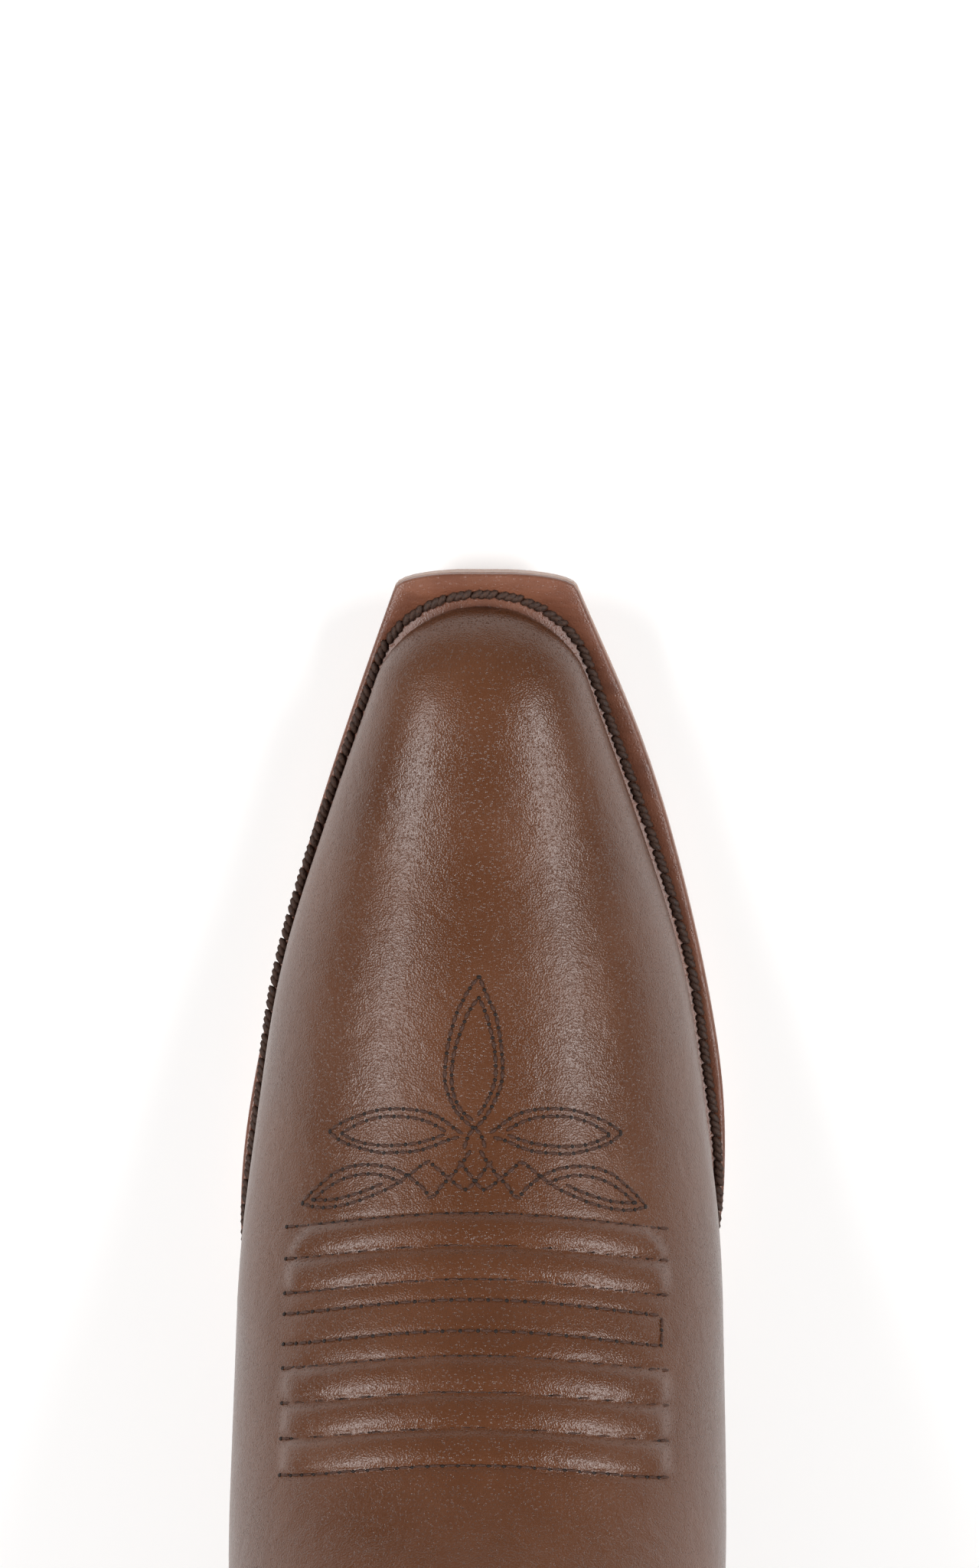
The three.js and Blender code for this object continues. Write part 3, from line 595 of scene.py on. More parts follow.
def planRun(points, inset=0.0, raised=None):  # a line drawn in plan, laid on the vamp
    out = []
    for x, y in points:
        here = fromAbove(x, y, inset)
        e = 0.4
        px = fromAbove(x + e, y, inset) - fromAbove(x - e, y, inset)
        py = fromAbove(x, y + e, inset) - fromAbove(x, y - e, inset)
        up = px.cross(py).normalized()
        if up.z < 0:
            up.negate()
        if raised:
            here = here + up * raised(x, y)
        out.append((here, up))
    return out


def sideRun(points, side, inset=0.0):  # a line drawn in the side view, laid on the boot's side
    out = []
    for y, z in points:
        w = sideWidth(y, z, inset, side)
        if w < 4:  # past the front ridge or the back seam
            continue
        e = 0.5
        wy = (sideWidth(y + e, z, inset, side) - sideWidth(y - e, z, inset, side)) / (2 * e)
        wz = (sideWidth(y, z + e, inset, side) - sideWidth(y, z - e, inset, side)) / (2 * e)
        out.append((Vector((side * w, y, z)), Vector((side, -wy, -wz)).normalized()))
    return out


print("tools ready")


# Finishes; the leathers are built from the three shared effects below.
def addNode(tree, kind, settings=None, **values):
    node = tree.nodes.new(kind)
    for key, value in (settings or {}).items():
        setattr(node, key, value)
    for key, value in values.items():
        node.inputs[key.replace("_", " ")].default_value = value
    return node


def objectSpace(tree):
    return addNode(tree, "ShaderNodeTexCoord").outputs["Object"]


def remap(tree, source, low, high, toLow=0.0, toHigh=1.0):
    node = addNode(tree, "ShaderNodeMapRange")
    for index, value in enumerate((low, high, toLow, toHigh)):
        node.inputs[index + 1].default_value = value
    tree.links.new(source, node.inputs[0])
    return node.outputs[0]


def blendMath(tree, kind, a, b):
    node = addNode(tree, "ShaderNodeMath", {"operation": kind})
    for index, value in enumerate((a, b)):
        if isinstance(value, (int, float)):
            node.inputs[index].default_value = value
        else:
            tree.links.new(value, node.inputs[index])
    return node.outputs[0]


def mixColour(tree, mask, a, b, kind="MIX"):
    node = addNode(tree, "ShaderNodeMix", {"data_type": "RGBA", "blend_type": kind})
    if isinstance(mask, (int, float)):
        node.inputs[0].default_value = mask
    else:
        tree.links.new(mask, node.inputs[0])
    for socket, value in ((6, a), (7, b)):
        if isinstance(value, tuple):
            node.inputs[socket].default_value = (*value, 1)
        else:
            tree.links.new(value, node.inputs[socket])
    return node.outputs[2]


def effectGroup(name, inputs, outputs):
    group = bpy.data.node_groups.new(name, "ShaderNodeTree")
    for label, value in inputs.items():
        socket = group.interface.new_socket(label, in_out="INPUT", socket_type="NodeSocketFloat")
        socket.default_value = value
    for label in outputs:
        group.interface.new_socket(label, in_out="OUTPUT", socket_type="NodeSocketFloat")
    return group, group.nodes.new("NodeGroupInput"), group.nodes.new("NodeGroupOutput")


def makeGrain():  # pores, fine skin cells, soft creases and a slow change of tone
    group, given, out = effectGroup(
        "leatherGrain",
        {"Pores": 900.0, "Cells": 2600.0, "Creases": 130.0, "Tone": 24.0},
        ["Height", "Tone", "Pore"],
    )
    place = objectSpace(group)
    pores = addNode(group, "ShaderNodeTexVoronoi", {"feature": "F1"}, Randomness=1.0)
    cells = addNode(group, "ShaderNodeTexVoronoi", {"feature": "SMOOTH_F1"}, Smoothness=0.35)
    creases = addNode(group, "ShaderNodeTexNoise", Detail=3.0, Roughness=0.55, Distortion=0.7)
    tone = addNode(group, "ShaderNodeTexNoise", Detail=4.0, Roughness=0.55)
    for node, label in ((pores, "Pores"), (cells, "Cells"), (creases, "Creases"), (tone, "Tone")):
        group.links.new(place, node.inputs["Vector"])
        group.links.new(given.outputs[label], node.inputs["Scale"])
    pit = remap(group, pores.outputs["Distance"], 0.1, 0.34)
    skin = remap(group, cells.outputs["Distance"], 0.0, 0.8)
    folds = remap(group, creases.outputs[0], 0.3, 0.7)
    height = blendMath(group, "MULTIPLY_ADD", pit, 0.55)
    group.links.new(blendMath(group, "MULTIPLY", skin, 0.4), height.node.inputs[2])
    height = blendMath(group, "ADD", height, blendMath(group, "MULTIPLY", folds, 0.9))
    group.links.new(height, out.inputs["Height"])
    group.links.new(remap(group, tone.outputs[0], 0.3, 0.7), out.inputs["Tone"])
    group.links.new(blendMath(group, "SUBTRACT", 1.0, pit), out.inputs["Pore"])
    return group


def makeWear():  # patchy scuffs
    group, given, out = effectGroup("handlingWear", {"Size": 60.0, "Amount": 0.5}, ["Scuff"])
    place = objectSpace(group)
    patches = addNode(group, "ShaderNodeTexNoise", Detail=6.0, Roughness=0.65)
    group.links.new(place, patches.inputs["Vector"])
    group.links.new(given.outputs["Size"], patches.inputs["Scale"])
    scuff = remap(group, patches.outputs[0], 0.5, 0.72)
    group.links.new(
        blendMath(group, "MULTIPLY", scuff, given.outputs["Amount"]), out.inputs["Scuff"]
    )
    return group


def makeFibres():  # the drawn-out fibres of a cut and burnished leather edge
    group, given, out = effectGroup("cutFibres", {"Fineness": 1.0}, ["Height", "Streak"])
    place = objectSpace(group)
    squeeze = addNode(group, "ShaderNodeMapping")
    squeeze.inputs["Scale"].default_value = (90, 90, 1500)
    streaks = addNode(group, "ShaderNodeTexNoise", Detail=4.0, Roughness=0.6)
    group.links.new(place, squeeze.inputs["Vector"])
    group.links.new(squeeze.outputs[0], streaks.inputs["Vector"])
    group.links.new(given.outputs["Fineness"], streaks.inputs["Scale"])
    group.links.new(streaks.outputs[0], out.inputs["Height"])
    group.links.new(remap(group, streaks.outputs[0], 0.35, 0.65), out.inputs["Streak"])
    return group


leatherGrain = makeGrain()
handlingWear = makeWear()
cutFibres = makeFibres()


def startMaterial(name, colour):
    material = bpy.data.materials.new(name)
    material.use_nodes = True
    tree = material.node_tree
    material.diffuse_color = (*colour, 1)
    return material, tree, tree.nodes["Principled BSDF"]


def useGroup(tree, group, **values):
    return addNode(tree, "ShaderNodeGroup", {"node_tree": group}, **values)


def bumpFrom(tree, shader, height, depth, strength=1.0):
    bump = addNode(tree, "ShaderNodeBump", Strength=strength, Distance=depth)
    tree.links.new(height, bump.inputs["Height"])
    tree.links.new(bump.outputs[0], shader.inputs["Normal"])


def makeLeather(name, look):
    material, tree, shader = startMaterial(name, look["light"])
    grain = useGroup(
        tree, leatherGrain, Pores=look["pores"], Cells=look["pores"] * 1.8,
        Creases=look["creases"], Tone=look["toneSize"]
    )
    wear = useGroup(tree, handlingWear, Size=look["scuffSize"], Amount=look["scuff"])
    colour = mixColour(tree, grain.outputs["Tone"], look["dark"], look["light"])
    colour = mixColour(
        tree, blendMath(tree, "MULTIPLY", grain.outputs["Pore"], look["poreShade"]), colour,
        look["dark"], "MULTIPLY"
    )
    colour = mixColour(tree, wear.outputs["Scuff"], colour, look["worn"])
    tree.links.new(colour, shader.inputs["Base Color"])
    smooth = remap(tree, grain.outputs["Tone"], 0, 1, *look["rough"])
    rough = blendMath(tree, "MULTIPLY_ADD", wear.outputs["Scuff"], look["scuffRough"])
    tree.links.new(smooth, rough.node.inputs[2])
    tree.links.new(rough, shader.inputs["Roughness"])
    shader.inputs["Specular IOR Level"].default_value = look["shine"]
    shader.inputs["Coat Weight"].default_value = look["polish"]
    shader.inputs["Coat Roughness"].default_value = look["polishRough"]
    bumpFrom(tree, shader, grain.outputs["Height"], look["depth"])
    return material


def makeEdgeLeather(name, look):  # sole leather: fibres along its cut edge, burnished
    material, tree, shader = startMaterial(name, look["light"])
    fibres = useGroup(tree, cutFibres, Fineness=look["fibres"])
    grain = useGroup(
        tree, leatherGrain, Pores=1400.0, Cells=3000.0, Creases=90.0, Tone=look["toneSize"]
    )
    wear = useGroup(tree, handlingWear, Size=40.0, Amount=look["scuff"])
    tone = blendMath(
        tree, "MULTIPLY", blendMath(tree, "ADD", fibres.outputs["Streak"], grain.outputs["Tone"]),
        0.5
    )
    colour = mixColour(tree, tone, look["dark"], look["light"])
    colour = mixColour(tree, wear.outputs["Scuff"], colour, look["worn"])
    tree.links.new(colour, shader.inputs["Base Color"])
    tree.links.new(remap(tree, tone, 0, 1, *look["rough"]), shader.inputs["Roughness"])
    height = blendMath(
        tree, "ADD", blendMath(tree, "MULTIPLY", grain.outputs["Height"], 0.4),
        fibres.outputs["Height"]
    )
    bumpFrom(tree, shader, height, look["depth"])
    shader.inputs["Coat Weight"].default_value = look["polish"]
    shader.inputs["Coat Roughness"].default_value = look["polishRough"]
    return material


def makeThread(name, dark, light):
    material, tree, shader = startMaterial(name, light)
    place = objectSpace(tree)
    fibre = addNode(tree, "ShaderNodeTexNoise", Scale=1900.0, Detail=3.0, Roughness=0.7)
    tree.links.new(place, fibre.inputs["Vector"])
    mask = remap(tree, fibre.outputs[0], 0.35, 0.65)
    tree.links.new(mixColour(tree, mask, dark, light), shader.inputs["Base Color"])
    tree.links.new(remap(tree, mask, 0, 1, 0.5, 0.75), shader.inputs["Roughness"])
    shader.inputs["Specular IOR Level"].default_value = 0.3
    bumpFrom(tree, shader, fibre.outputs[0], 0.00012)
    return material


def makeMetal(name, colour, rough):
    material, tree, shader = startMaterial(name, colour)
    place = objectSpace(tree)
    marks = addNode(tree, "ShaderNodeTexNoise", Scale=400.0, Detail=5.0, Roughness=0.7)
    tree.links.new(place, marks.inputs["Vector"])
    tone = remap(tree, marks.outputs[0], 0.3, 0.7)
    tree.links.new(
        mixColour(tree, tone, tuple(c * 0.7 for c in colour), colour), shader.inputs["Base Color"]
    )
    tree.links.new(remap(tree, tone, 0, 1, rough, rough + 0.2), shader.inputs["Roughness"])
    shader.inputs["Metallic"].default_value = 1.0
    bumpFrom(tree, shader, marks.outputs[0], 0.00005)
    return material


def makeGranular(name, dark, light, grain, rough, depth):  # cork, board, rubber, cotton
    material, tree, shader = startMaterial(name, light)
    place = objectSpace(tree)
    bits = addNode(tree, "ShaderNodeTexVoronoi", Scale=grain)
    haze = addNode(tree, "ShaderNodeTexNoise", Scale=grain * 1.7, Detail=4.0)
    for node in (bits, haze):
        tree.links.new(place, node.inputs["Vector"])
    mask = blendMath(
        tree, "MULTIPLY", remap(tree, bits.outputs["Distance"], 0, 0.8), haze.outputs[0]
    )
    mask = remap(tree, mask, 0.05, 0.45)
    tree.links.new(mixColour(tree, mask, dark, light), shader.inputs["Base Color"])
    tree.links.new(
        remap(tree, haze.outputs[0], 0.3, 0.7, rough - 0.08, rough + 0.08),
        shader.inputs["Roughness"]
    )
    bumpFrom(tree, shader, mask, depth)
    return material


calf = {
    "dark": (0.064, 0.0205, 0.0066),
    "light": (0.088, 0.0295, 0.0102),
    "worn": (0.12, 0.052, 0.027),
    "rough": (0.25, 0.33),
    "pores": 1600.0,
    "creases": 150.0,
    "toneSize": 26.0,
    "poreShade": 0.2,
    "scuffSize": 48.0,
    "scuff": 0.14,
    "scuffRough": 0.22,
    "shine": 0.42,
    "polish": 0.04,
    "polishRough": 0.16,
    "depth": 0.00013,
}
skins = {
    "upperCalf": {},
    "trimCalf": {"dark": (0.04, 0.015, 0.008), "light": (0.062, 0.024, 0.013)},
    "strapCalf": {"dark": (0.055, 0.02, 0.011), "light": (0.08, 0.032, 0.018)},
    "tanLining": {
        "dark": (0.36, 0.2, 0.1),
        "light": (0.5, 0.31, 0.17),
        "worn": (0.42, 0.25, 0.14),
        "rough": (0.58, 0.72),
        "polish": 0.0,
        "shine": 0.35,
        "scuff": 0.4,
    },
    "sockLeather": {
        "dark": (0.33, 0.19, 0.1),
        "light": (0.46, 0.29, 0.16),
        "worn": (0.3, 0.18, 0.1),
        "rough": (0.55, 0.7),
        "polish": 0.0,
        "shine": 0.35,
        "scuff": 0.5,
    },
}
upperLeather, trimLeather, strapLeather, liningLeather, insoleLeather = (
    makeLeather(name, {**calf, **change}) for name, change in skins.items()
)
cutEdge = {
    "worn": (0.12, 0.055, 0.03),
    "fibres": 1.0,
    "toneSize": 30.0,
    "scuff": 0.35,
    "polishRough": 0.25,
    "depth": 0.0002,
}
edges = {
    "trimmedEdge": {
        "dark": (0.17, 0.07, 0.032),
        "light": (0.32, 0.15, 0.075),
        "polish": 0.15,
        "rough": (0.3, 0.42),
    },
    "weltLeather": {
        "dark": (0.09, 0.03, 0.016),
        "light": (0.165, 0.058, 0.03),
        "worn": (0.2, 0.085, 0.046),
        "polish": 0.0,
        "rough": (0.32, 0.46),
    },
    "stackedLeather": {
        "dark": (0.075, 0.03, 0.016),
        "light": (0.15, 0.068, 0.036),
        "polish": 0.2,
        "rough": (0.28, 0.4),
    },
}
edgeLeather, weltLeather, stackLeather = (
    makeEdgeLeather(name, {**cutEdge, **change}) for name, change in edges.items()
)
heelRubber = makeGranular(
    "heelRubber", (0.008, 0.007, 0.006), (0.02, 0.018, 0.016), 900.0, 0.72, 0.0001
)
waxedThread = makeThread("waxedThread", (0.02, 0.009, 0.006), (0.062, 0.03, 0.019))
vampThread = makeThread("vampThread", (0.026, 0.01, 0.006), (0.066, 0.026, 0.014))
shaftThread = makeThread("shaftThread", (0.11, 0.055, 0.03), (0.22, 0.12, 0.07))
nailBrass = makeMetal("nailBrass", (0.6, 0.42, 0.17), 0.32)
shankSteel = makeMetal("shankSteel", (0.45, 0.46, 0.48), 0.35)
corkGrains = makeGranular(
    "corkGrains", (0.22, 0.12, 0.05), (0.5, 0.33, 0.17), 420.0, 0.85, 0.0003
)
leatherBoard = makeGranular(
    "leatherBoard", (0.42, 0.32, 0.2), (0.62, 0.5, 0.35), 700.0, 0.85, 0.00015
)
cottonCord = makeGranular(
    "cottonCord", (0.5, 0.44, 0.34), (0.72, 0.66, 0.55), 1500.0, 0.9, 0.0002
)
pegWood = makeGranular("pegWood", (0.42, 0.28, 0.14), (0.66, 0.5, 0.3), 1500.0, 0.7, 0.0001)
# near-black finish that paints the shade inside the needle holes
holeShadePaint = makeThread("holeShadePaint", (0.006, 0.003, 0.002), (0.016, 0.007, 0.004))
print("finishes made")

# Seam lines in the side view.
def edge(points):
    return curveThrough([(y, last["heelHeight"] + h) for y, h in points], 14)


def shifted(points, dy, dz):
    return [(y + dy, z + dz) for y, z in points]


def above(line):
    return [(-140, 500), (380, 500), (380, line[-1][1]), *reversed(line), (-140, line[0][1])]


vampTop = edge(
    [
        (84, 51), (93, 48), (100.5, 58), (103.8, 74), (104.2, 91), (103, 107), (106, 121),
        (130, 131)
    ]
)
counterTop = edge([(84, 51), (70, 43), (50, 43), (30, 51), (14, 65), (0, 76), (-20, 80)])
shaftLow = shifted(counterTop, 0, -10)[::-1] + shifted(vampTop, 1.2, -10)[1:]
footLining = edge([(58, 38), (75, 44), (92, 52), (99, 72), (100, 95), (102, 112), (125, 124)])
heelLining = edge([(58, 38), (40, 46), (20, 62), (0, 72), (-20, 74)])
liningLow = shifted(heelLining[::-1] + footLining[1:], -0.4, 0.7)
vampLine = [(84, -60), *vampTop, (380, 172), (380, -60)]
counterLine = [(83.5, -60), *shifted(counterTop, -0.5, 0), (-140, 121), (-140, -60)]


def sideSeam(z):
    return 58 - 19 * (z - 75) / 260


def collarZ(y, drop=0.0):
    half = 72 if y > 39 else 66
    away = min(abs(y - 39) / half, 1)
    return last["collar"] - drop - last["scallop"] * (1 - (1 - away**2.2) ** 0.62)


def sections(low, high, step, inset):
    return sorted(
        {
            *spaced(low, high, step), cornerOf(inset)
        } if low < cornerOf(inset) < high else spaced(low, high, step)
    )


def atSection(t, along, inset):
    p = sectionPoint(along, t, inset)
    return p.y, p.z


def within(line, inset):  # keeps what lies inside an outline in the side view
    return lambda t, along: inside(line, *atSection(t, along, inset))


def shaftKeep(line, inset, front):  # above a line, ahead of or behind the side seam
    def keep(t, along):
        y, z = atSection(t, along, inset)
        split = y - sideSeam(z) if front else sideSeam(z) - 0.5 - y
        return min(inside(line, y, z), split, collarZ(y) - z)

    return keep


# The vamp: a smooth toe, then raised ridges stitched across the instep.
wrinkles = {
    "rows": [181.6, 176.2, 170.5, 167.1, 162.1, 158.0, 152.1, 146.2, 140.3],
    "ridges": [(0, 1), (1, 2), (5, 6), (6, 7), (7, 8)],
    "height": 1.15,
    "groove": 0.34,
    "grooveWidth": 0.8,
    "bow": 5.4,
    "reach": 37.3,
    "fade": 3.6,
    "between": 0.18,
}


def rowAt(x, centre):
    return centre - wrinkles["bow"] * (x / 36) ** 2


def wrinkleRelief(x, y):
    flat = y + wrinkles["bow"] * (x / 36) ** 2
    rows = wrinkles["rows"]
    if flat > rows[0] + 4 or flat < rows[-1] - 4:
        return 0.0
    fade = min(max((wrinkles["reach"] - abs(x)) / wrinkles["fade"], 0), 1)
    fade = fade * fade * (3 - 2 * fade)
    rise = 0.0
    for a, b in wrinkles["ridges"]:
        low, high = rows[b], rows[a]
        s = (flat - low) / (high - low)
        if 0 < s < 1:
            rise = wrinkles["height"] * (1 - abs(2 * s - 1) ** 2.3) ** 0.6
    if rows[5] < flat < rows[2]:
        rise = max(rise, wrinkles["between"])
    for centre in rows:
        off = (flat - centre) / wrinkles["grooveWidth"]
        rise -= wrinkles["groove"] * math.exp(-off * off * 2.2)
    return rise * fade


def vampRelief(point):
    if point.z < 60 or point.y < 130:
        return 0.0
    return wrinkleRelief(point.x, point.y)


ridgeRows = sorted(
    {
        *spaced(tipAlong(0) + 0.02, tipAlong(0) + 6, 0.6), *spaced(tipAlong(0) + 6, -28, 2.4),
        *spaced(-28, 36, 0.62), *spaced(36, 124, 2.4)
    }
)
vamp = layPanel("vamp_leather", 120, ridgeRows, "vamp", within(vampLine, 0), vampRelief)
dress(vamp, upperLeather, "upper_leather", "vamp")

counterRows = sections(38, 125, 2.4, 0)
counter = layPanel("counter_leather", 132, counterRows, "vamp", within(counterLine, 0))
dress(counter, trimLeather, "trim_leather", "counter_cover")
print("vamp and counter laid")

# The shaft: two panels met at the side seams, and their linings.
shaftInset, liningInset = layers["shaft"][0], layers["lining"][0]
shaftRows = sections(44, 286, 2.6, shaftInset)
liningRows = sections(40, 286, 4, liningInset)
shaftAbove, liningAbove = above(shaftLow), above(liningLow)
for front, name in ((True, "front"), (False, "back")):
    keep = shaftKeep(shaftAbove, shaftInset, front)
    piece = layPanel(f"shaft_{name}_leather", 120, shaftRows, "shaft", keep)
    dress(piece, upperLeather, "upper_leather", f"shaft_{name}")
for front, name in ((True, "front"), (False, "back")):
    keep = shaftKeep(liningAbove, liningInset, front)
    piece = layPanel(f"shaft_lining_{name}_leather", 80, liningRows, "lining", keep)
    dress(piece, liningLeather, "lining_leather", f"shaft_lining_{name}")

# The linings of the vamp and the counter.
footRows = spaced(tipAlong(liningInset) + 0.02, 114, 4)
footLine = [(58, -60), *footLining, (380, 165), (380, -60)]
heelRows = sections(50, 118, 4, liningInset)
heelLine = [(57.5, -60), *shifted(heelLining, -0.5, 0), (-140, 115), (-140, -60)]
for name, across, rows, line in (
    ("vamp_lining", 60, footRows, footLine),
    ("counter_lining", 64, heelRows, heelLine),
):
    piece = layPanel(f"{name}_leather", across, rows, "lining", within(line, liningInset))
    dress(piece, liningLeather, "lining_leather", name)
print("shaft and linings laid")


# Pieces drawn as a ring of places carried along a line.
def tube(name, rings, closed=False):
    around = len(rings[0])
    rows = len(rings) - (0 if closed else 1)
    bm = bmesh.new()
    bmesh.ops.create_grid(bm, x_segments=around, y_segments=rows, size=0.5)
    for v in bm.verts:
        i = round((v.co.y + 0.5) * rows) % len(rings)
        j = round((v.co.x + 0.5) * around) % around
        v.co = toFrame(rings[i][j])
    bmesh.ops.remove_doubles(bm, verts=bm.verts, dist=1e-6)
    bmesh.ops.dissolve_degenerate(bm, edges=bm.edges, dist=1e-6)
    rim = [e for e in bm.edges if e.is_boundary]
    if rim:
        bmesh.ops.holes_fill(bm, edges=rim, sides=0)
    bmesh.ops.recalc_face_normals(bm, faces=bm.faces)
    for face in bm.faces:
        face.smooth = len(face.verts) < 5
    return fromMesh(name, bm)


# The collar: one strip of leather folded over the top edge.
collar = {"outer": 0.5, "inner": 5.7, "leather": 0.9, "drops": (7, 4.6, 2.2), "stations": 150}


def collarPoint(t, inset, drop):
    def over(z):
        y = sectionPoint(last["quarter"] + z - last["pivot"][1], t, inset).y
        return z - collarZ(y, drop)

    z = crossing(over, 285, 345, 22)
    return sectionPoint(last["quarter"] + z - last["pivot"][1], t, inset)


def collarRing(t):
    outer, inner, leather = collar["outer"], collar["inner"], collar["leather"]
    places = [(outer, drop) for drop in collar["drops"]] + [(outer + 0.15, 0.6)]
    for k in range(1, 6):
        turn = math.pi * k / 6
        inset = (outer + inner) / 2 - (inner - outer) / 2 * math.cos(turn)
        places.append((inset, 0.4 - 1.5 * math.sin(turn)))
    places += [(inner - 0.15, 0.6)] + [(inner, drop) for drop in collar["drops"][::-1]]
    places += [(inner - leather, drop) for drop in (7, 4.6, 1.0)]
    places += [(outer + leather, drop) for drop in (1.0, 4.6, 7)]
    return [collarPoint(t, inset, drop) for inset, drop in places]


turns = [-1 + 2 * i / collar["stations"] for i in range(collar["stations"])]
binding = tube("collar_binding_leather", [collarRing(t) for t in turns], closed=True)
dress(binding, trimLeather, "trim_leather", "collar_binding")


# Piping over each side seam.
pipingLook = {"half": 2.0, "inset": 0.65, "swell": 0.75, "power": 0.7}


def pipingRing(z, side):
    ring = []
    for k in range(12):
        turn = 2 * math.pi * k / 12
        swell = pipingLook["swell"] * abs(math.sin(turn)) ** pipingLook["power"]
        depth = pipingLook["inset"] - math.copysign(swell, math.sin(turn))
        y = sideSeam(z) + pipingLook["half"] * math.cos(turn)
        ring.append(Vector((side * sideWidth(y, z, depth, side), y, z)))
    return ring


for side, name in ((1, "medial"), (-1, "lateral")):
    rings = [pipingRing(z, side) for z in spaced(90, 326.5, 2.5)]
    piping = tube(f"piping_{name}_leather", rings)
    dress(piping, trimLeather, "trim_leather", f"piping_{name}")
print("collar and piping made")

# Sole, welt and rand.
def soleHalf(y, side):
    edgeOf = soleMedial if side > 0 else soleLateral
    return edgeOf(y) * rounded(y, 32, 2.1) * rounded(last["length"] - y, 3.2, 2.4)


seatZ = last["heelHeight"] + last["outsole"] + last["welt"]  # top of the heel seat


def featherHalf(y, side, inset):
    edgeOf = featherMedial if side > 0 else featherLateral
    heel = rounded(y - backLine(seatZ) - inset, backDepth(seatZ), 2.05)
    return max(edgeOf(y) - inset, 0) * heel * toeFill(y, inset)


def easeFrom(start, span, count):  # places that start close together
    return [start + span * (1 - math.cos(math.pi / 2 * i / count)) for i in range(count + 1)]


def easeTo(start, span, power, first=1):  # places that end close together
    return [start + span * (1 - (1 - i / 18) ** power) for i in range(first, 19)]


outsoleLook = {"round": 0.8, "channel": 5.2, "channelWide": 1.3, "channelDeep": 0.7}


def outsoleRing(y):
    left, right = -soleHalf(y, -1), soleHalf(y, 1)
    low, high = underside(y), underside(y) + last["outsole"]
    r = min(outsoleLook["round"], (right - left) / 4)
    ring = []
    for cx, cz, start in (
        (right - r, high - r, 0), (left + r, high - r, 1), (left + r, low + r, 2)
    ):
        for k in range(5):
            turn = (start + k / 4) * math.pi / 2
            ring.append(Vector((cx + r * math.cos(turn), y, cz + r * math.sin(turn))))
    c, w, d = outsoleLook["channel"], outsoleLook["channelWide"] / 2, outsoleLook["channelDeep"]
    grooved = 1 if right - left > 4 * c and y > 62 else 0
    for off, deep in ((-w - 0.2, 0), (-w, d), (w, d), (w + 0.2, 0)):
        ring.append(Vector((left + min(c + off, (right - left) * 0.3), y, low + deep * grooved)))
    ring.append(Vector(((left + right) / 2, y, low)))
    for off, deep in ((w + 0.2, 0), (w, d), (-w, d), (-w - 0.2, 0)):
        ring.append(Vector((right - min(c + off, (right - left) * 0.3), y, low + deep * grooved)))
    for k in range(5):
        turn = (3 + k / 4) * math.pi / 2
        ring.append(Vector((right - r + r * math.cos(turn), y, low + r + r * math.sin(turn))))
    return ring


soleRows = sorted({*easeFrom(0.15, 20, 14), *spaced(20.15, 288, 3.6), *easeFrom(297.9, -9.9, 14)})
outsole = tube("outsole_leather", [outsoleRing(y) for y in soleRows])
dress(outsole, edgeLeather, "sole_leather", "outsole")


# up the lateral side and back down the medial side, as points in plan
def outlinePlan(ys, edgeAt):
    up = [(-edgeAt(y, -1), y) for y in ys]
    return up + [(edgeAt(y, 1), y) for y in reversed(ys)][1 if edgeAt(ys[-1], 1) < 0.2 else 0 :]


def evenly(points, step):  # the same line with its corners kept and long spans shared out
    gone = [0.0]
    for a, b in zip(points, points[1:]):
        gone.append(gone[-1] + math.dist(a, b))
    count = round(gone[-1] / step)
    out, k = [], 0
    for i in range(count + 1):
        want = gone[-1] * i / count
        while k < len(gone) - 2 and gone[k + 1] < want:
            k += 1
        s = (want - gone[k]) / max(gone[k + 1] - gone[k], 1e-9)
        out.append(tuple(a + (b - a) * s for a, b in zip(points[k], points[k + 1])))
    return out


def nearest(points, place):
    best, spot = 1e9, None
    for a, b in zip(points, points[1:]):
        dx, dy = b[0] - a[0], b[1] - a[1]
        size = dx * dx + dy * dy
        s = min(
            max(((place[0] - a[0]) * dx + (place[1] - a[1]) * dy) / size, 0), 1
        ) if size else 0
        spotHere = (a[0] + dx * s, a[1] + dy * s)
        away = math.dist(spotHere, place)
        if away < best:
            best, spot = away, spotHere
    return spot


weltLook = {
    "over": 0.3,
    "thick": 2.7,
    "round": 0.7,
    "seamOut": 2.3,
    "channelWide": 1.5,
    "channelDeep": 0.45,
    "inset": 6,
    "step": 1.6,
}


def weltRing(outer, inner, seam):
    wide = max(math.dist(outer, inner), 0.5)
    across = ((inner[0] - outer[0]) / wide, (inner[1] - outer[1]) / wide)
    r = min(weltLook["round"], wide / 4)
    c = min(max(math.dist(seam, outer), r + 1), wide * 0.75)
    w, d, top = weltLook["channelWide"] / 2, weltLook["channelDeep"], weltLook["thick"]
    profile = [(r * 0.5, 0), (0, r * 0.6), (0, top - r), (r * 0.3, top - r * 0.3), (r, top)]
    profile += [(c - w, top), (c - w * 0.5, top - d), (c + w * 0.5, top - d), (c + w, top)]
    profile += [(wide, top), (wide, 0)]
    ring = []
    for a, h in profile:
        x, y = outer[0] + across[0] * a, outer[1] + across[1] * a
        foot = underside(min(max(y, 0), last["length"])) + last["outsole"] + weltLook["over"]
        ring.append(Vector((x, y, foot + h)))
    return ring


def weltStrip(name, outerLine, innerLine, seam):
    rings = [weltRing(p, nearest(innerLine, p), nearest(seam, p)) for p in outerLine]
    return tube(name, rings)


def featherLine(low, high, out):  # a line round the foot of the upper, a little way out from it
    ys = spaced(low, high - 16, 3) + [high - 16 * (1 - i / 20) ** 2.2 for i in range(1, 21)]
    return outlinePlan(ys, lambda y, side: featherHalf(y, side, -out))



def footInside(y, side):
    return featherHalf(y, side, weltLook["inset"])


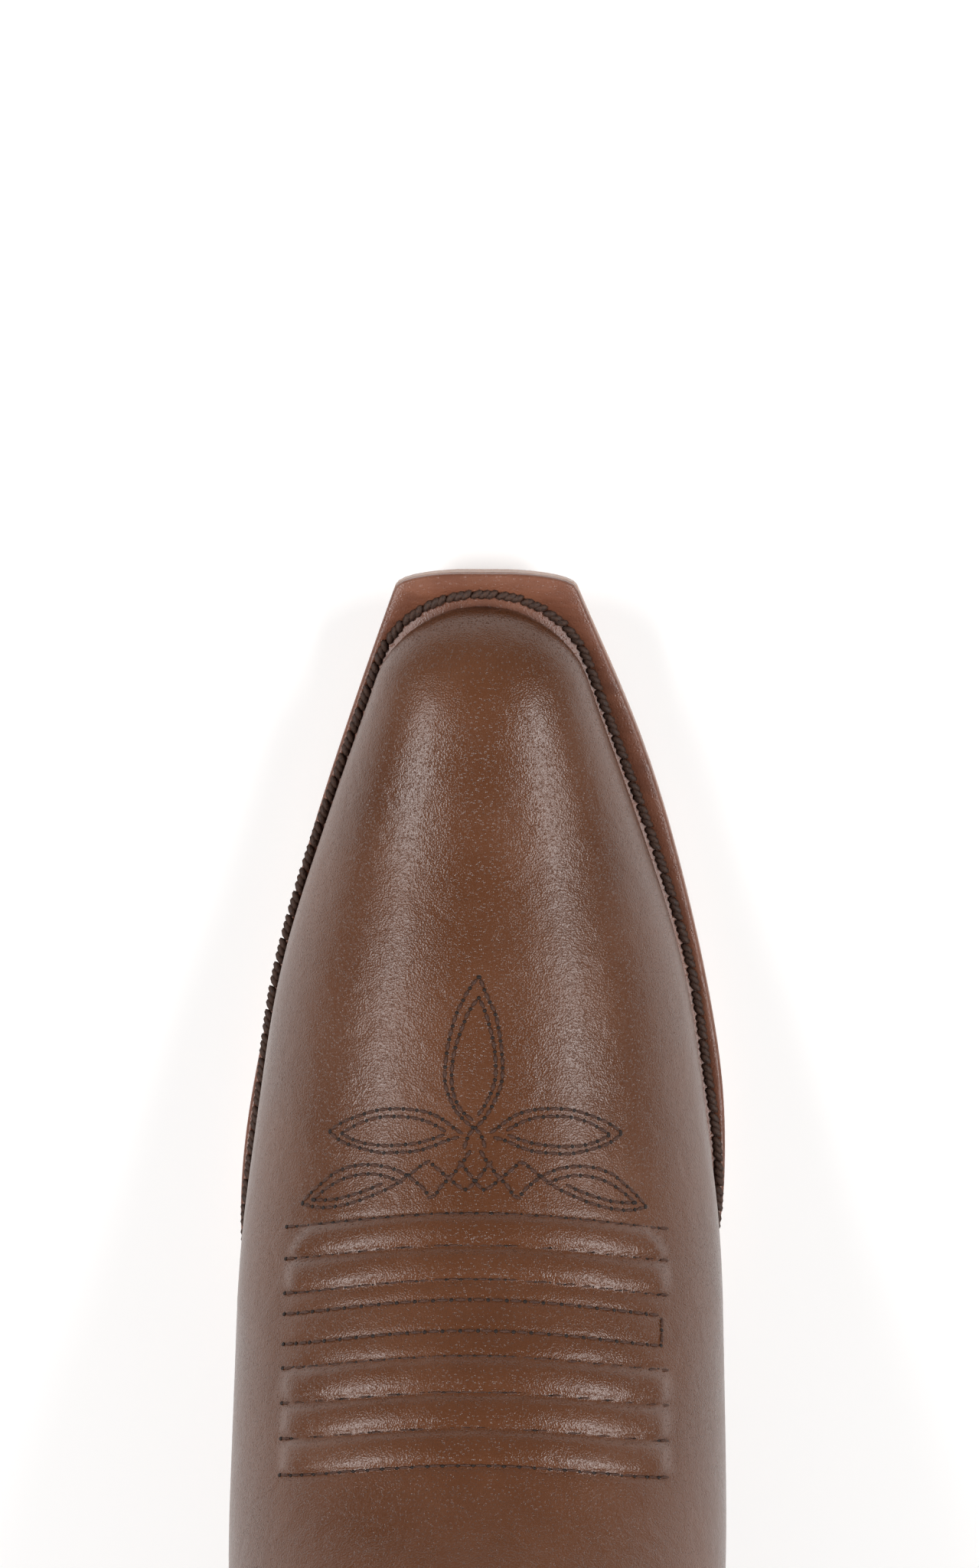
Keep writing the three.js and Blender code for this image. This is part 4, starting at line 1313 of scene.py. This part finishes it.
toeYs = spaced(62, 286, 3) + easeTo(286, 11.9, 2.4)
toeInner = spaced(62, 272, 3) + easeTo(272, 13.4, 2.2)
weltOuter = evenly(outlinePlan(toeYs, soleHalf), weltLook["step"])
weltInner = outlinePlan(toeInner, footInside)
seamTip = last["upperTip"] + weltLook["seamOut"] - 0.01
weltSeam = evenly(featherLine(62, seamTip, weltLook["seamOut"]), 1.2)
welt = weltStrip("welt_strip", weltOuter, weltInner, weltSeam)
dress(welt, weltLeather, "welt_leather", "welt")

heelYs = [61.5 - 41.5 * i / 14 for i in range(14)] + easeTo(20, -19.85, 2.2, 0)
heelInner = [61.5 - 31.5 * i / 10 for i in range(10)] + easeTo(30, -21.4, 2.2, 0)
randOuter = evenly(outlinePlan(heelYs, soleHalf), weltLook["step"])
randInner = outlinePlan(heelInner, footInside)
randSeam = [(x * 0.93, 32 + (y - 32) * 0.93) for x, y in randOuter]
rand = weltStrip("heel_rand_strip", randOuter, randInner, randSeam)
dress(rand, weltLeather, "welt_leather", "heel_rand")
print("sole and welt made")


# The heel: stacked lifts, a rubber cap and the wedge that fits them to the sole.
heelLook = {
    "back": 0.4,
    "undercut": 10.0,
    "breast": 61.0,
    "pitch": 7.0,
    "half": 31.5,
    "taper": 5.5,
    "top": 36.5,
    "round": 0.35,
    "cap": 6.0,
    "lifts": 5,
    "gap": 0.3,
    "wedge": 3.5,
    "underSole": 0.45,
}
nails = {
    "places": [(-17, 22), (17, 22), (-18, 40), (18, 40), (0, 17), (0, 46)],
    "half": 1.5,
    "middle": 7.1,
    "length": 14.8,
    "top": 14.5,
}


def heelOutline(z, grow):
    down = 1 - min(max(z / heelLook["top"], 0), 1)
    back = heelLook["back"] + heelLook["undercut"] * down - grow
    breast = heelLook["breast"] - heelLook["pitch"] * down + grow
    ys = easeFrom(back, 24, 18)
    ys += [ys[-1] + (breast - ys[-1]) * i / 8 for i in range(1, 9)]
    widest = heelLook["half"] - heelLook["taper"] * down + grow
    half = [widest * rounded(y - back, 32 - 2 * down, 2.1) for y in ys]
    right = [(h, y) for h, y in zip(half, ys)]
    left = [(-h, y) for h, y in reversed(list(zip(half, ys)))]
    return right + left[:-1]


def heelPlate(name, low, high, topOf=None):
    r = heelLook["round"]
    rings = []
    steps = ((0, -r), (r * 0.3, -r * 0.3), (r, 0))
    levels = [(low + up, grow) for up, grow in steps]
    levels += [(high - up, grow) for up, grow in reversed(steps)]
    for z, grow in levels:
        ring = []
        for x, y in heelOutline(z, grow):
            rise = topOf(y) if topOf and z > (low + high) / 2 else 0
            ring.append(Vector((x, y, z + rise)))
        rings.append(ring)
    return tube(name, rings)


def peg(bm, place, half, length, segments):
    bmesh.ops.create_cone(
        bm,
        cap_ends=True,
        segments=segments,
        radius1=half / 1000,
        radius2=half / 1000,
        depth=length / 1000,
        matrix=place,
    )


def drill(piece):
    cutter = bmesh.new()
    for x, y in nails["places"]:
        peg(
            cutter, Matrix.Translation(toFrame((x, y, nails["middle"]))), nails["half"],
            nails["length"], 20
        )
    bits = fromMesh("nail_holes", cutter)
    cut = piece.modifiers.new("Nail holes", "BOOLEAN")
    cut.object = bits
    cut.solver = "EXACT"
    bpy.context.view_layer.update()
    ready = bpy.data.meshes.new_from_object(
        piece.evaluated_get(bpy.context.evaluated_depsgraph_get())
    )
    piece.modifiers.clear()
    piece.data = ready
    bpy.data.objects.remove(bits)
    for face in ready.polygons:
        face.use_smooth = len(face.vertices) == 4 and abs(face.normal.z) < 0.99
    return piece


cap, gap = heelLook["cap"], heelLook["gap"]
liftStep = (heelLook["top"] - gap - heelLook["wedge"] - cap) / heelLook["lifts"]
capPiece = drill(heelPlate("heel_cap_rubber", 0, cap))
dress(capPiece, heelRubber, "heel_rubber", "heel_cap")
for i in range(heelLook["lifts"]):
    low = cap + i * liftStep + gap
    lift = heelPlate(f"heel_lift_leather_{i + 1}", low, cap + (i + 1) * liftStep)
    if low < nails["top"]:
        drill(lift)
    dress(lift, stackLeather, "heel_stack", f"heel_lift_{i + 1}")
wedgeTop = underside(heelLook["breast"]) - heelLook["underSole"]


def wedgeRise(y):
    return underside(max(y, 0)) - heelLook["underSole"] - wedgeTop


wedgeLow = heelLook["top"] - heelLook["wedge"]
wedge = heelPlate("heel_wedge_leather", wedgeLow, wedgeTop, wedgeRise)
dress(wedge, stackLeather, "heel_stack", "heel_wedge")
print("heel stacked")


# The sock liner, softly padded.
sock = {
    "inset": 5.7,
    "back": 3.0,
    "tip": 4.2,
    "over": 3.3,
    "thick": 2.0,
    "crown": 0.245,
    "round": 0.9,
    "fill": 0.8,
}
sockBack = backLine(seatZ) + sock["inset"] + sock["back"]
sockTip = last["upperTip"] - sock["inset"] - sock["tip"]


def sockRing(y):
    fit = rounded(y - sockBack, backDepth(seatZ), 2.05)
    fit *= rounded(sockTip - y, last["toeDepth"], 2.2)
    left = -(featherLateral(y) - sock["inset"]) * fit
    right = (featherMedial(y) - sock["inset"]) * fit
    low = featherZ(y) + sock["over"]
    r = min(sock["round"], (right - left) / 4)
    ring = []
    for k in range(25):
        u = -math.cos(math.pi * k / 24)
        x = (left + right) / 2 + u * (right - left) / 2
        drop = r * (1 - rounded(1 - abs(u), r * 2.2 / max(right - left, 1), 2))
        lift = sock["thick"] - 0.25 - drop + sock["crown"] * (1 - u * u)
        ring.append(Vector((x, y, low + lift)))
    for k in range(25):
        u = math.cos(math.pi * k / 24)
        ring.append(Vector(((left + right) / 2 + u * (right - left) / 2 * 0.995, y, low)))
    return ring


backRows, tipRows = easeFrom(sockBack + 0.1, 24, 12), easeFrom(sockTip - 0.1, -11.9, 10)
sockRows = sorted({*backRows, *spaced(sockBack + 24.1, sockTip - 12, 5), *tipRows})
sockLiner = tube("sock_liner_leather", [sockRing(y) for y in sockRows])
dress(sockLiner, insoleLeather, "insole_leather", "sock_liner")


# Pull straps: one strip each, sewn down outside and inside and looped over the collar.
strap = {
    "middle": 39.0,
    "wide": 19.0,
    "thick": 1.5,
    "outer": -1.9,
    "inner": 7.5,
    "low": 292.5,
    "tailTop": 334.5,
    "foot": 337.1,
    "top": 354.2,
    "bulge": 1.5,
    "columns": 10,
}


def strapPath(y, side):
    levels = spaced(strap["low"], strap["tailTop"], 4)
    outer = [(sideWidth(y, z, strap["outer"], side), z) for z in levels]
    inner = [(sideWidth(y, z, strap["inner"], side), z) for z in levels]
    footOut = sideWidth(y, strap["foot"], strap["outer"], side)
    footIn = sideWidth(y, strap["foot"], strap["inner"], side)
    centre, wide = (footOut + footIn) / 2, (footOut - footIn) / 2
    full = wide + strap["bulge"]
    arch = []
    for k in range(15):
        turn = math.pi * k / 14
        arch.append((centre + full * math.cos(turn), strap["top"] - full + full * math.sin(turn)))
    lead = [(centre + wide, strap["foot"])]
    return outer + lead + arch + [(centre - wide, strap["foot"])] + inner[::-1]


for side, name in ((1, "medial"), (-1, "lateral")):
    columns = strap["columns"]
    start = strap["middle"] - strap["wide"] / 2
    acrossRows = [start + strap["wide"] * i / columns for i in range(columns + 1)]
    paths = [strapPath(y, side) for y in acrossRows]
    bm = bmesh.new()
    count = len(paths[0]) - 1
    bmesh.ops.create_grid(bm, x_segments=columns, y_segments=count, size=0.5)
    for v in bm.verts:
        i, j = round((v.co.x + 0.5) * columns), round((v.co.y + 0.5) * count)
        w, z = paths[i][j]
        v.co = toFrame((side * w, acrossRows[i], z))
    if side < 0:
        bmesh.ops.reverse_faces(bm, faces=bm.faces)
    smoothAll(bm)
    loop = fromMesh(f"pull_strap_{name}_leather", bm)
    paint(loop, strapLeather)
    thicken(loop, strap["thick"])
    rounding = loop.modifiers.new("Edges", "BEVEL")
    rounding.width = 0.0003
    rounding.segments = 2
    rounding.limit_method = "ANGLE"
    rounding.angle_limit = math.radians(50)
    nodes = [f"pull_strap_{name}_{part}" for part in ("outer_tail", "inner_tail", "loop")]
    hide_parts(*nodes)
    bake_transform(loop)
print("straps looped")

for name, material in {
    "insole_board": leatherBoard,
    "toe_puff": leatherBoard,
    "heel_stiffener": leatherBoard,
    "cork_filler": corkGrains,
    "steel_shank": shankSteel,
}.items():
    paint(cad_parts[name], material)
for name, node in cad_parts.items():
    if name.startswith("wrinkle_cord"):
        paint(node, cottonCord)
    if name.startswith("heel_nail"):
        paint(node, nailBrass)

# Stitching.
threads = {
    "wrinkle": {"pitch": 2.8, "fill": 0.88, "wide": 0.62, "high": 0.5, "proud": 0.26},
    "flat": {"pitch": 3.4, "fill": 0.72, "wide": 0.66, "high": 0.54, "proud": 0.18},
    "medallion": {"pitch": 2.65, "fill": 0.74, "wide": 0.76, "high": 0.6, "proud": 0.04},
    "welt": {
        "pitch": 5.0, "fill": 1.06, "wide": 1.5, "high": 1.25, "proud": 0.15, "strands": 3,
        "twist": 0.62
    },
    "seam": {"pitch": 2.6, "fill": 0.82, "wide": 0.62, "high": 0.5, "proud": 0.1},
    "sole": {"pitch": 3.6, "fill": 0.86, "wide": 0.95, "high": 0.7, "proud": 0.0},
}
# size of the dark beads that paint the shade in the needle holes
holeShadeBead = {"wide": 0.85, "high": 0.42}


def raisedHere(x, y):
    return wrinkleRelief(x, y) if y > 130 else 0.0


def holes(name, runs, pitch, lift=0.0):  # painted shade in each needle hole: a small dark bead between two stitches
    bm = bmesh.new()
    places = []
    for run in runs:
        for place, up, forward, step in walk(run, pitch, 0.0):
            across = up.cross(forward).normalized()
            turnTo = Matrix((forward, across, up)).transposed().to_4x4()
            grow = Matrix.Diagonal((holeShadeBead["wide"] / 2, holeShadeBead["wide"] / 2, holeShadeBead["high"] / 2, 1))
            places.append(Matrix.Translation(toFrame(place + up * lift)) @ turnTo @ grow)
    addBeads(bm, places, (6, 4))
    smoothAll(bm)
    return dress(fromMesh(name, bm), holeShadePaint, "trim_leather")


rowRuns, flatRuns = [], []
for i, centre in enumerate(wrinkles["rows"]):
    right = 35 if i in (3, 4) else 36.6
    line = [(x, rowAt(x, centre)) for x in spaced(-36.6, right, 1.2)]
    (flatRuns if i in (3, 4) else rowRuns).append(planRun(line, 0, raisedHere))
link = [
    (35, y) for y in spaced(rowAt(35, wrinkles["rows"][4]), rowAt(35, wrinkles["rows"][3]), 1.0)
]
flatRuns.append(planRun(link, 0, raisedHere))
threadPiece("wrinkle_stitches", rowRuns, threads["wrinkle"], vampThread, "upper_leather")
threadPiece("flat_stitches", flatRuns, threads["flat"], vampThread, "upper_leather")
# dark beads of painted shade in the needle holes of these rows
holes("flat_stitch_hole_shade", flatRuns, threads["flat"]["pitch"], 0.14)
holes("wrinkle_stitch_hole_shade", rowRuns, threads["wrinkle"]["pitch"], 0.2)

medallion = {
    "topLeft": [
        (0.0, 223.9), (-1.7, 221.8), (-3.1, 219.3), (-4.4, 216.5), (-5.7, 211.6), (-6.3, 206.5),
        (-6.0, 203.6), (-4.2, 199.7), (-1.9, 197.4), (0.6, 195.4), (1.6, 192.6)
    ],
    "topRight": [
        (0.2, 223.9), (1.1, 221.7), (2.2, 219.3), (3.4, 216.7), (4.4, 211.4), (4.7, 206.6),
        (4.2, 203.6), (2.5, 200.0), (0.9, 197.8), (-1.6, 195.3), (-2.6, 192.4)
    ],
    "topLeftInner": [
        (0.1, 220.1), (-1.5, 218.1), (-2.6, 215.8), (-4.4, 210.7), (-5.0, 206.1), (-4.6, 202.6),
        (-3.1, 199.7), (-0.5, 197.6)
    ],
    "topRightInner": [
        (0.1, 220.1), (1.2, 217.8), (2.1, 215.2), (3.1, 211.0), (3.4, 206.6), (2.9, 203.8),
        (1.5, 200.8), (-0.2, 198.4)
    ],
    "leftUpper": [
        (-28.4, 194.4), (-26.6, 195.8), (-24.9, 196.8), (-21.7, 198.2), (-18.0, 199.3),
        (-13.4, 199.6), (-9.7, 199.2), (-7.0, 198.2), (-4.6, 196.6), (-2.4, 195.2)
    ],
    "leftLower": [
        (-28.4, 194.2), (-26.5, 193.0), (-23.9, 192.3), (-18.8, 191.6), (-14.6, 191.9),
        (-11.4, 192.3), (-8.5, 193.2), (-5.5, 194.4), (-3.0, 195.0)
    ],
    "leftUpperInner": [
        (-26.0, 194.3), (-24.2, 195.5), (-22.1, 196.7), (-18.4, 197.9), (-14.2, 198.2),
        (-11.0, 197.9), (-8.2, 197.0), (-5.6, 195.6)
    ],
    "leftLowerInner": [
        (-26.0, 194.2), (-23.9, 193.4), (-21.1, 192.9), (-17.3, 192.9), (-13.7, 193.3),
        (-10.5, 193.9), (-7.7, 194.8), (-5.8, 195.5)
    ],
}
for name in ("Upper", "Lower"):
    for inner in ("", "Inner"):
        line = medallion[f"left{name}{inner}"]
        medallion[f"right{name}{inner}"] = [
            (-x * 0.97 - 0.3, y + (0.2 if name == "Upper" else 0.0)) for x, y in line
        ]
medallion |= {
    "leafOver": [
        (-33.6, 180.9), (-31.6, 183.3), (-29.0, 185.7), (-26.9, 187.4), (-23.5, 188.8),
        (-20.1, 189.3), (-16.5, 189.0), (-13.4, 187.9), (-10.6, 186.1), (-8.5, 184.3),
        (-6.6, 186.4), (-4.5, 188.4), (-2.5, 190.8), (-1.0, 193.0)
    ],
    "leafUnder": [
        (-33.6, 180.7), (-30.7, 180.6), (-27.4, 181.2), (-23.6, 182.4), (-19.6, 184.1),
        (-16.0, 185.9), (-12.6, 188.2), (-10.5, 189.8), (-9.1, 190.3), (-7.2, 189.0),
        (-5.0, 187.4), (-2.2, 185.7), (0.0, 187.5), (1.6, 189.4), (3.2, 191.0)
    ],
    "leafOverInner": [
        (-31.6, 181.8), (-28.6, 184.4), (-25.6, 186.3), (-22.3, 187.4), (-19.3, 187.7),
        (-16.2, 187.2), (-13.8, 186.3)
    ],
    "leafUnderInner": [
        (-31.2, 181.8), (-27.8, 182.4), (-24.6, 183.4), (-20.8, 184.9), (-17.6, 186.4)
    ],
}
for name in ("leafOver", "leafUnder", "leafOverInner", "leafUnderInner"):
    medallion[f"{name}Right"] = [(-x * 0.975 - 0.7, y) for x, y in medallion[name]]
petals = [planRun(curveThrough(points, 12)) for points in medallion.values()]
threadPiece("medallion_stitches", petals, threads["medallion"], vampThread, "upper_leather")
# dark beads of painted shade in the medallion's needle holes
holes("medallion_hole_shade", petals, threads["medallion"]["pitch"])

# The welt seam lies in its channel, round the forepart.
seamLine = []
for x, y in weltSeam:
    slope = (underside(y + 1) - underside(y - 1)) / 2
    top = underside(y) + last["outsole"] + weltLook["over"] + weltLook["thick"]
    place = Vector((x, y, top - 0.1))
    seamLine.append((place, Vector((0, -slope, 1)).normalized()))
threadPiece("welt_stitches", [seamLine], threads["welt"], waxedThread, "welt_leather", (8, 6))

# The same seam comes out in the channel under the sole.
soleRuns = []
for side in (-1, 1):
    line = []
    for y in spaced(66, 283, 3)[::-side]:
        x = side * (soleHalf(y, side) - outsoleLook["channel"])
        slope = (underside(y + 1) - underside(y - 1)) / 2
        line.append((Vector((x, y, underside(y) + 0.42)), Vector((0, slope, -1)).normalized()))
    soleRuns.append(line)
threadPiece("sole_stitches", soleRuns, threads["sole"], waxedThread, "sole_leather")

# Wooden pegs fix the arch, in two rows each side.
bm = bmesh.new()
for side in (-1, 1):
    for row in (0, 1):
        for y in spaced(66, 118, 5.2):
            x = side * (soleHalf(y, side) - 9.5 - 4 * row)
            slope = math.atan((underside(y + 1) - underside(y - 1)) / 2)
            place = toFrame((x, y + 2.6 * row, underside(y + 2.6 * row) + 0.5))
            turnTo = Matrix.Rotation(slope, 4, "X")
            peg(bm, Matrix.Translation(place) @ turnTo, 0.9, 1.1, 12)
dress(fromMesh("arch_pegs", bm), pegWood, "sole_leather")

# Rows along the vamp and counter edges, and the tails of the straps.
def alongEdge(points, side, offset):
    line = []
    for i, (y, z) in enumerate(points):
        ay, az = points[max(i - 1, 0)]
        by, bz = points[min(i + 1, len(points) - 1)]
        size = math.hypot(by - ay, bz - az) or 1
        line.append((y + (bz - az) / size * offset, z - (by - ay) / size * offset))
    return sideRun(line, side)


seamRuns = []
for side in (1, -1):
    for offset in (1.8, 4.0):
        seamRuns.append(alongEdge(vampTop, side, offset))
        seamRuns.append(alongEdge(counterTop[:52], side, -offset))
    for away in (-1, 1):
        for gap in (3.4, 5.6):
            seamRuns.append(
                sideRun(
                    [(sideSeam(z) + away * gap, z) for z in spaced(92, 292, 4)], side, shaftInset
                )
            )
threadPiece("edge_stitches", seamRuns, threads["seam"], shaftThread, "upper_leather", (5, 4))
tailRuns = []
for side in (1, -1):
    near, far = strap["middle"] - 7.7, strap["middle"] + 7.7
    box = [(near, 330), (near, 294.5), (far, 294.5), (far, 330), (near, 330)]
    line = []
    for (ay, az), (by, bz) in zip(box, box[1:]):
        line += [(ay + (by - ay) * i / 8, az + (bz - az) * i / 8) for i in range(8)]
    tailRuns.append(sideRun(line, side, strap["outer"]))
    tailRuns.append([(place, -up) for place, up in sideRun(line, side, strap["inner"])])
threadPiece("strap_stitches", tailRuns, threads["seam"], shaftThread, "strap_leather", (5, 4))
bindingRun = []
for inset, flip in ((collar["outer"], 1), (collar["inner"], -1)):
    line = []
    for i in range(121):
        t = -1 + 2 * i / 120
        p = collarPoint(t, inset, 5.4)
        q = collarPoint(t, inset + 1, 5.4)
        line.append((p, (p - q).normalized() * flip))
    bindingRun.append(line)
threadPiece("binding_stitches", bindingRun, threads["seam"], shaftThread, "trim_leather", (5, 4))

# The shaft: a classic pattern of nested flames, front and back.
shaftPattern = {"rows": 4, "gap": 3.4, "drop": 10, "wide": 1.15, "shrink": 0.17}


def shaftPlace(t, along):
    inset = shaftInset
    p = sectionPoint(along, t, inset)
    e = 0.004
    a, b = sectionPoint(along, t + e, inset), sectionPoint(along, t - e, inset)
    c, d = sectionPoint(along + 0.4, t, inset), sectionPoint(along - 0.4, t, inset)
    up = (a - b).cross(c - d).normalized()
    centre = Vector((0, 40 if along > 60 else 100, p.z))
    if up.dot(p - centre) < 0:
        up.negate()
    return p, up


def flame(row):  # a tall tulip rising beside its stem
    g = shaftPattern["gap"] * row
    points = [
        (0.012, 136 + g * 1.6),
        (0.12, 146 + g),
        (0.205, 164),
        (0.2, 184),
        (0.135, 202 - g * 0.4),
        (0.1, 216 - g * 0.4),
        (0.14, 232 - g),
        (0.1, 250 - g),
        (0.045, 262 - g * 1.3),
        (0.004, 272 - g * 1.6),
    ]
    shrink = 1 - shaftPattern["shrink"] * row
    return [(w * shrink, a - shaftPattern["drop"]) for w, a in curveThrough(points, 16)]


shaftRuns = []
for back in (False, True):
    for sign in (1, -1):
        for row in range(shaftPattern["rows"]):
            line = []
            for w, along in flame(row):
                t = sign * (1 - w if back else w * shaftPattern["wide"])
                line.append(shaftPlace(t, along))
            shaftRuns.append(line)
threadPiece("shaft_stitches", shaftRuns, threads["seam"], shaftThread, "upper_leather", (5, 4))
print("stitching sewn")

# The setting: a pale floor and soft light from both sides.
setting = {
    "aim": (1.2, 254.5, 8.0),
    "distance": 1100.0,
    "lean": 9.0,
    "turn": 1.2,
    "lens": 127.6,
    "sideLight": 19.0,
    "fill": 0.5,
    "zenith": 0.08,
    "horizon": 0.32,
    "floorTone": (0.76, 0.755, 0.75),
    "floorGlow": 0.22,
    "farGlow": 0.85,
}
bm = bmesh.new()
bmesh.ops.create_grid(bm, x_segments=1, y_segments=1, size=3)
floor = fromMesh("studio_floor", bm)
floorPaint, tree, shader = startMaterial("studioFloor", setting["floorTone"])
shader.inputs["Base Color"].default_value = (*setting["floorTone"], 1)
shader.inputs["Roughness"].default_value = 0.85
shader.inputs["Emission Color"].default_value = (1, 1, 1, 1)
away = addNode(tree, "ShaderNodeVectorMath", {"operation": "LENGTH"})
tree.links.new(objectSpace(tree), away.inputs[0])
glow = remap(tree, away.outputs["Value"], 0.35, 1.6, setting["floorGlow"], setting["farGlow"])
tree.links.new(glow, shader.inputs["Emission Strength"])
floor.data.materials.append(floorPaint)


def aim(thing, place, target, upright):
    back = (place - target).normalized()
    right = upright.cross(back).normalized()
    up = back.cross(right)
    thing.matrix_world = Matrix.Translation(place) @ Matrix((right, up, back)).transposed().to_4x4()


def softbox(name, place, target, size, power, colour=(1, 1, 1)):
    lamp = bpy.data.lights.new(name, "AREA")
    lamp.shape = "RECTANGLE"
    lamp.size, lamp.size_y = size
    lamp.energy = power
    lamp.color = colour
    holder = bpy.data.objects.new(name, lamp)
    bpy.context.scene.collection.objects.link(holder)
    aim(holder, Vector(place), Vector(target), Vector((0, 1, 0)))
    return holder


middle = (0, 0.03, 0.08)
softbox("left_softbox", (-0.78, 0.05, 0.95), middle, (0.27, 1.5), setting["sideLight"])
softbox("right_softbox", (0.78, 0.05, 0.95), middle, (0.27, 1.5), setting["sideLight"])
softbox("front_softbox", (0, 1.25, 0.6), middle, (1.1, 0.5), setting["fill"])

world = bpy.data.worlds.new("studio")
bpy.context.scene.world = world
world.use_nodes = True
sky = world.node_tree
up = addNode(sky, "ShaderNodeSeparateXYZ")
sky.links.new(addNode(sky, "ShaderNodeTexCoord").outputs["Generated"], up.inputs[0])
glow = remap(sky, up.outputs["Z"], 0.03, 0.16, setting["horizon"], setting["zenith"])
sky.links.new(glow, sky.nodes["Background"].inputs["Strength"])
sky.nodes["Background"].inputs["Color"].default_value = (1, 1, 1, 1)

camera = bpy.data.objects.new("camera", bpy.data.cameras.new("camera"))
bpy.context.scene.collection.objects.link(camera)
camera.data.lens = setting["lens"]
camera.data.sensor_width = 36
camera.data.clip_start, camera.data.clip_end = 0.05, 20
target = toFrame(setting["aim"])
turn, lean = math.radians(setting["turn"]), math.radians(setting["lean"])
direction = Vector((math.tan(turn), math.tan(lean), 1)).normalized()
aim(camera, target + direction * setting["distance"] / 1000, target, Vector((0, 1, 0)))
bpy.context.scene.camera = camera
bpy.context.scene.view_settings.view_transform = "Standard"
print("set lit")
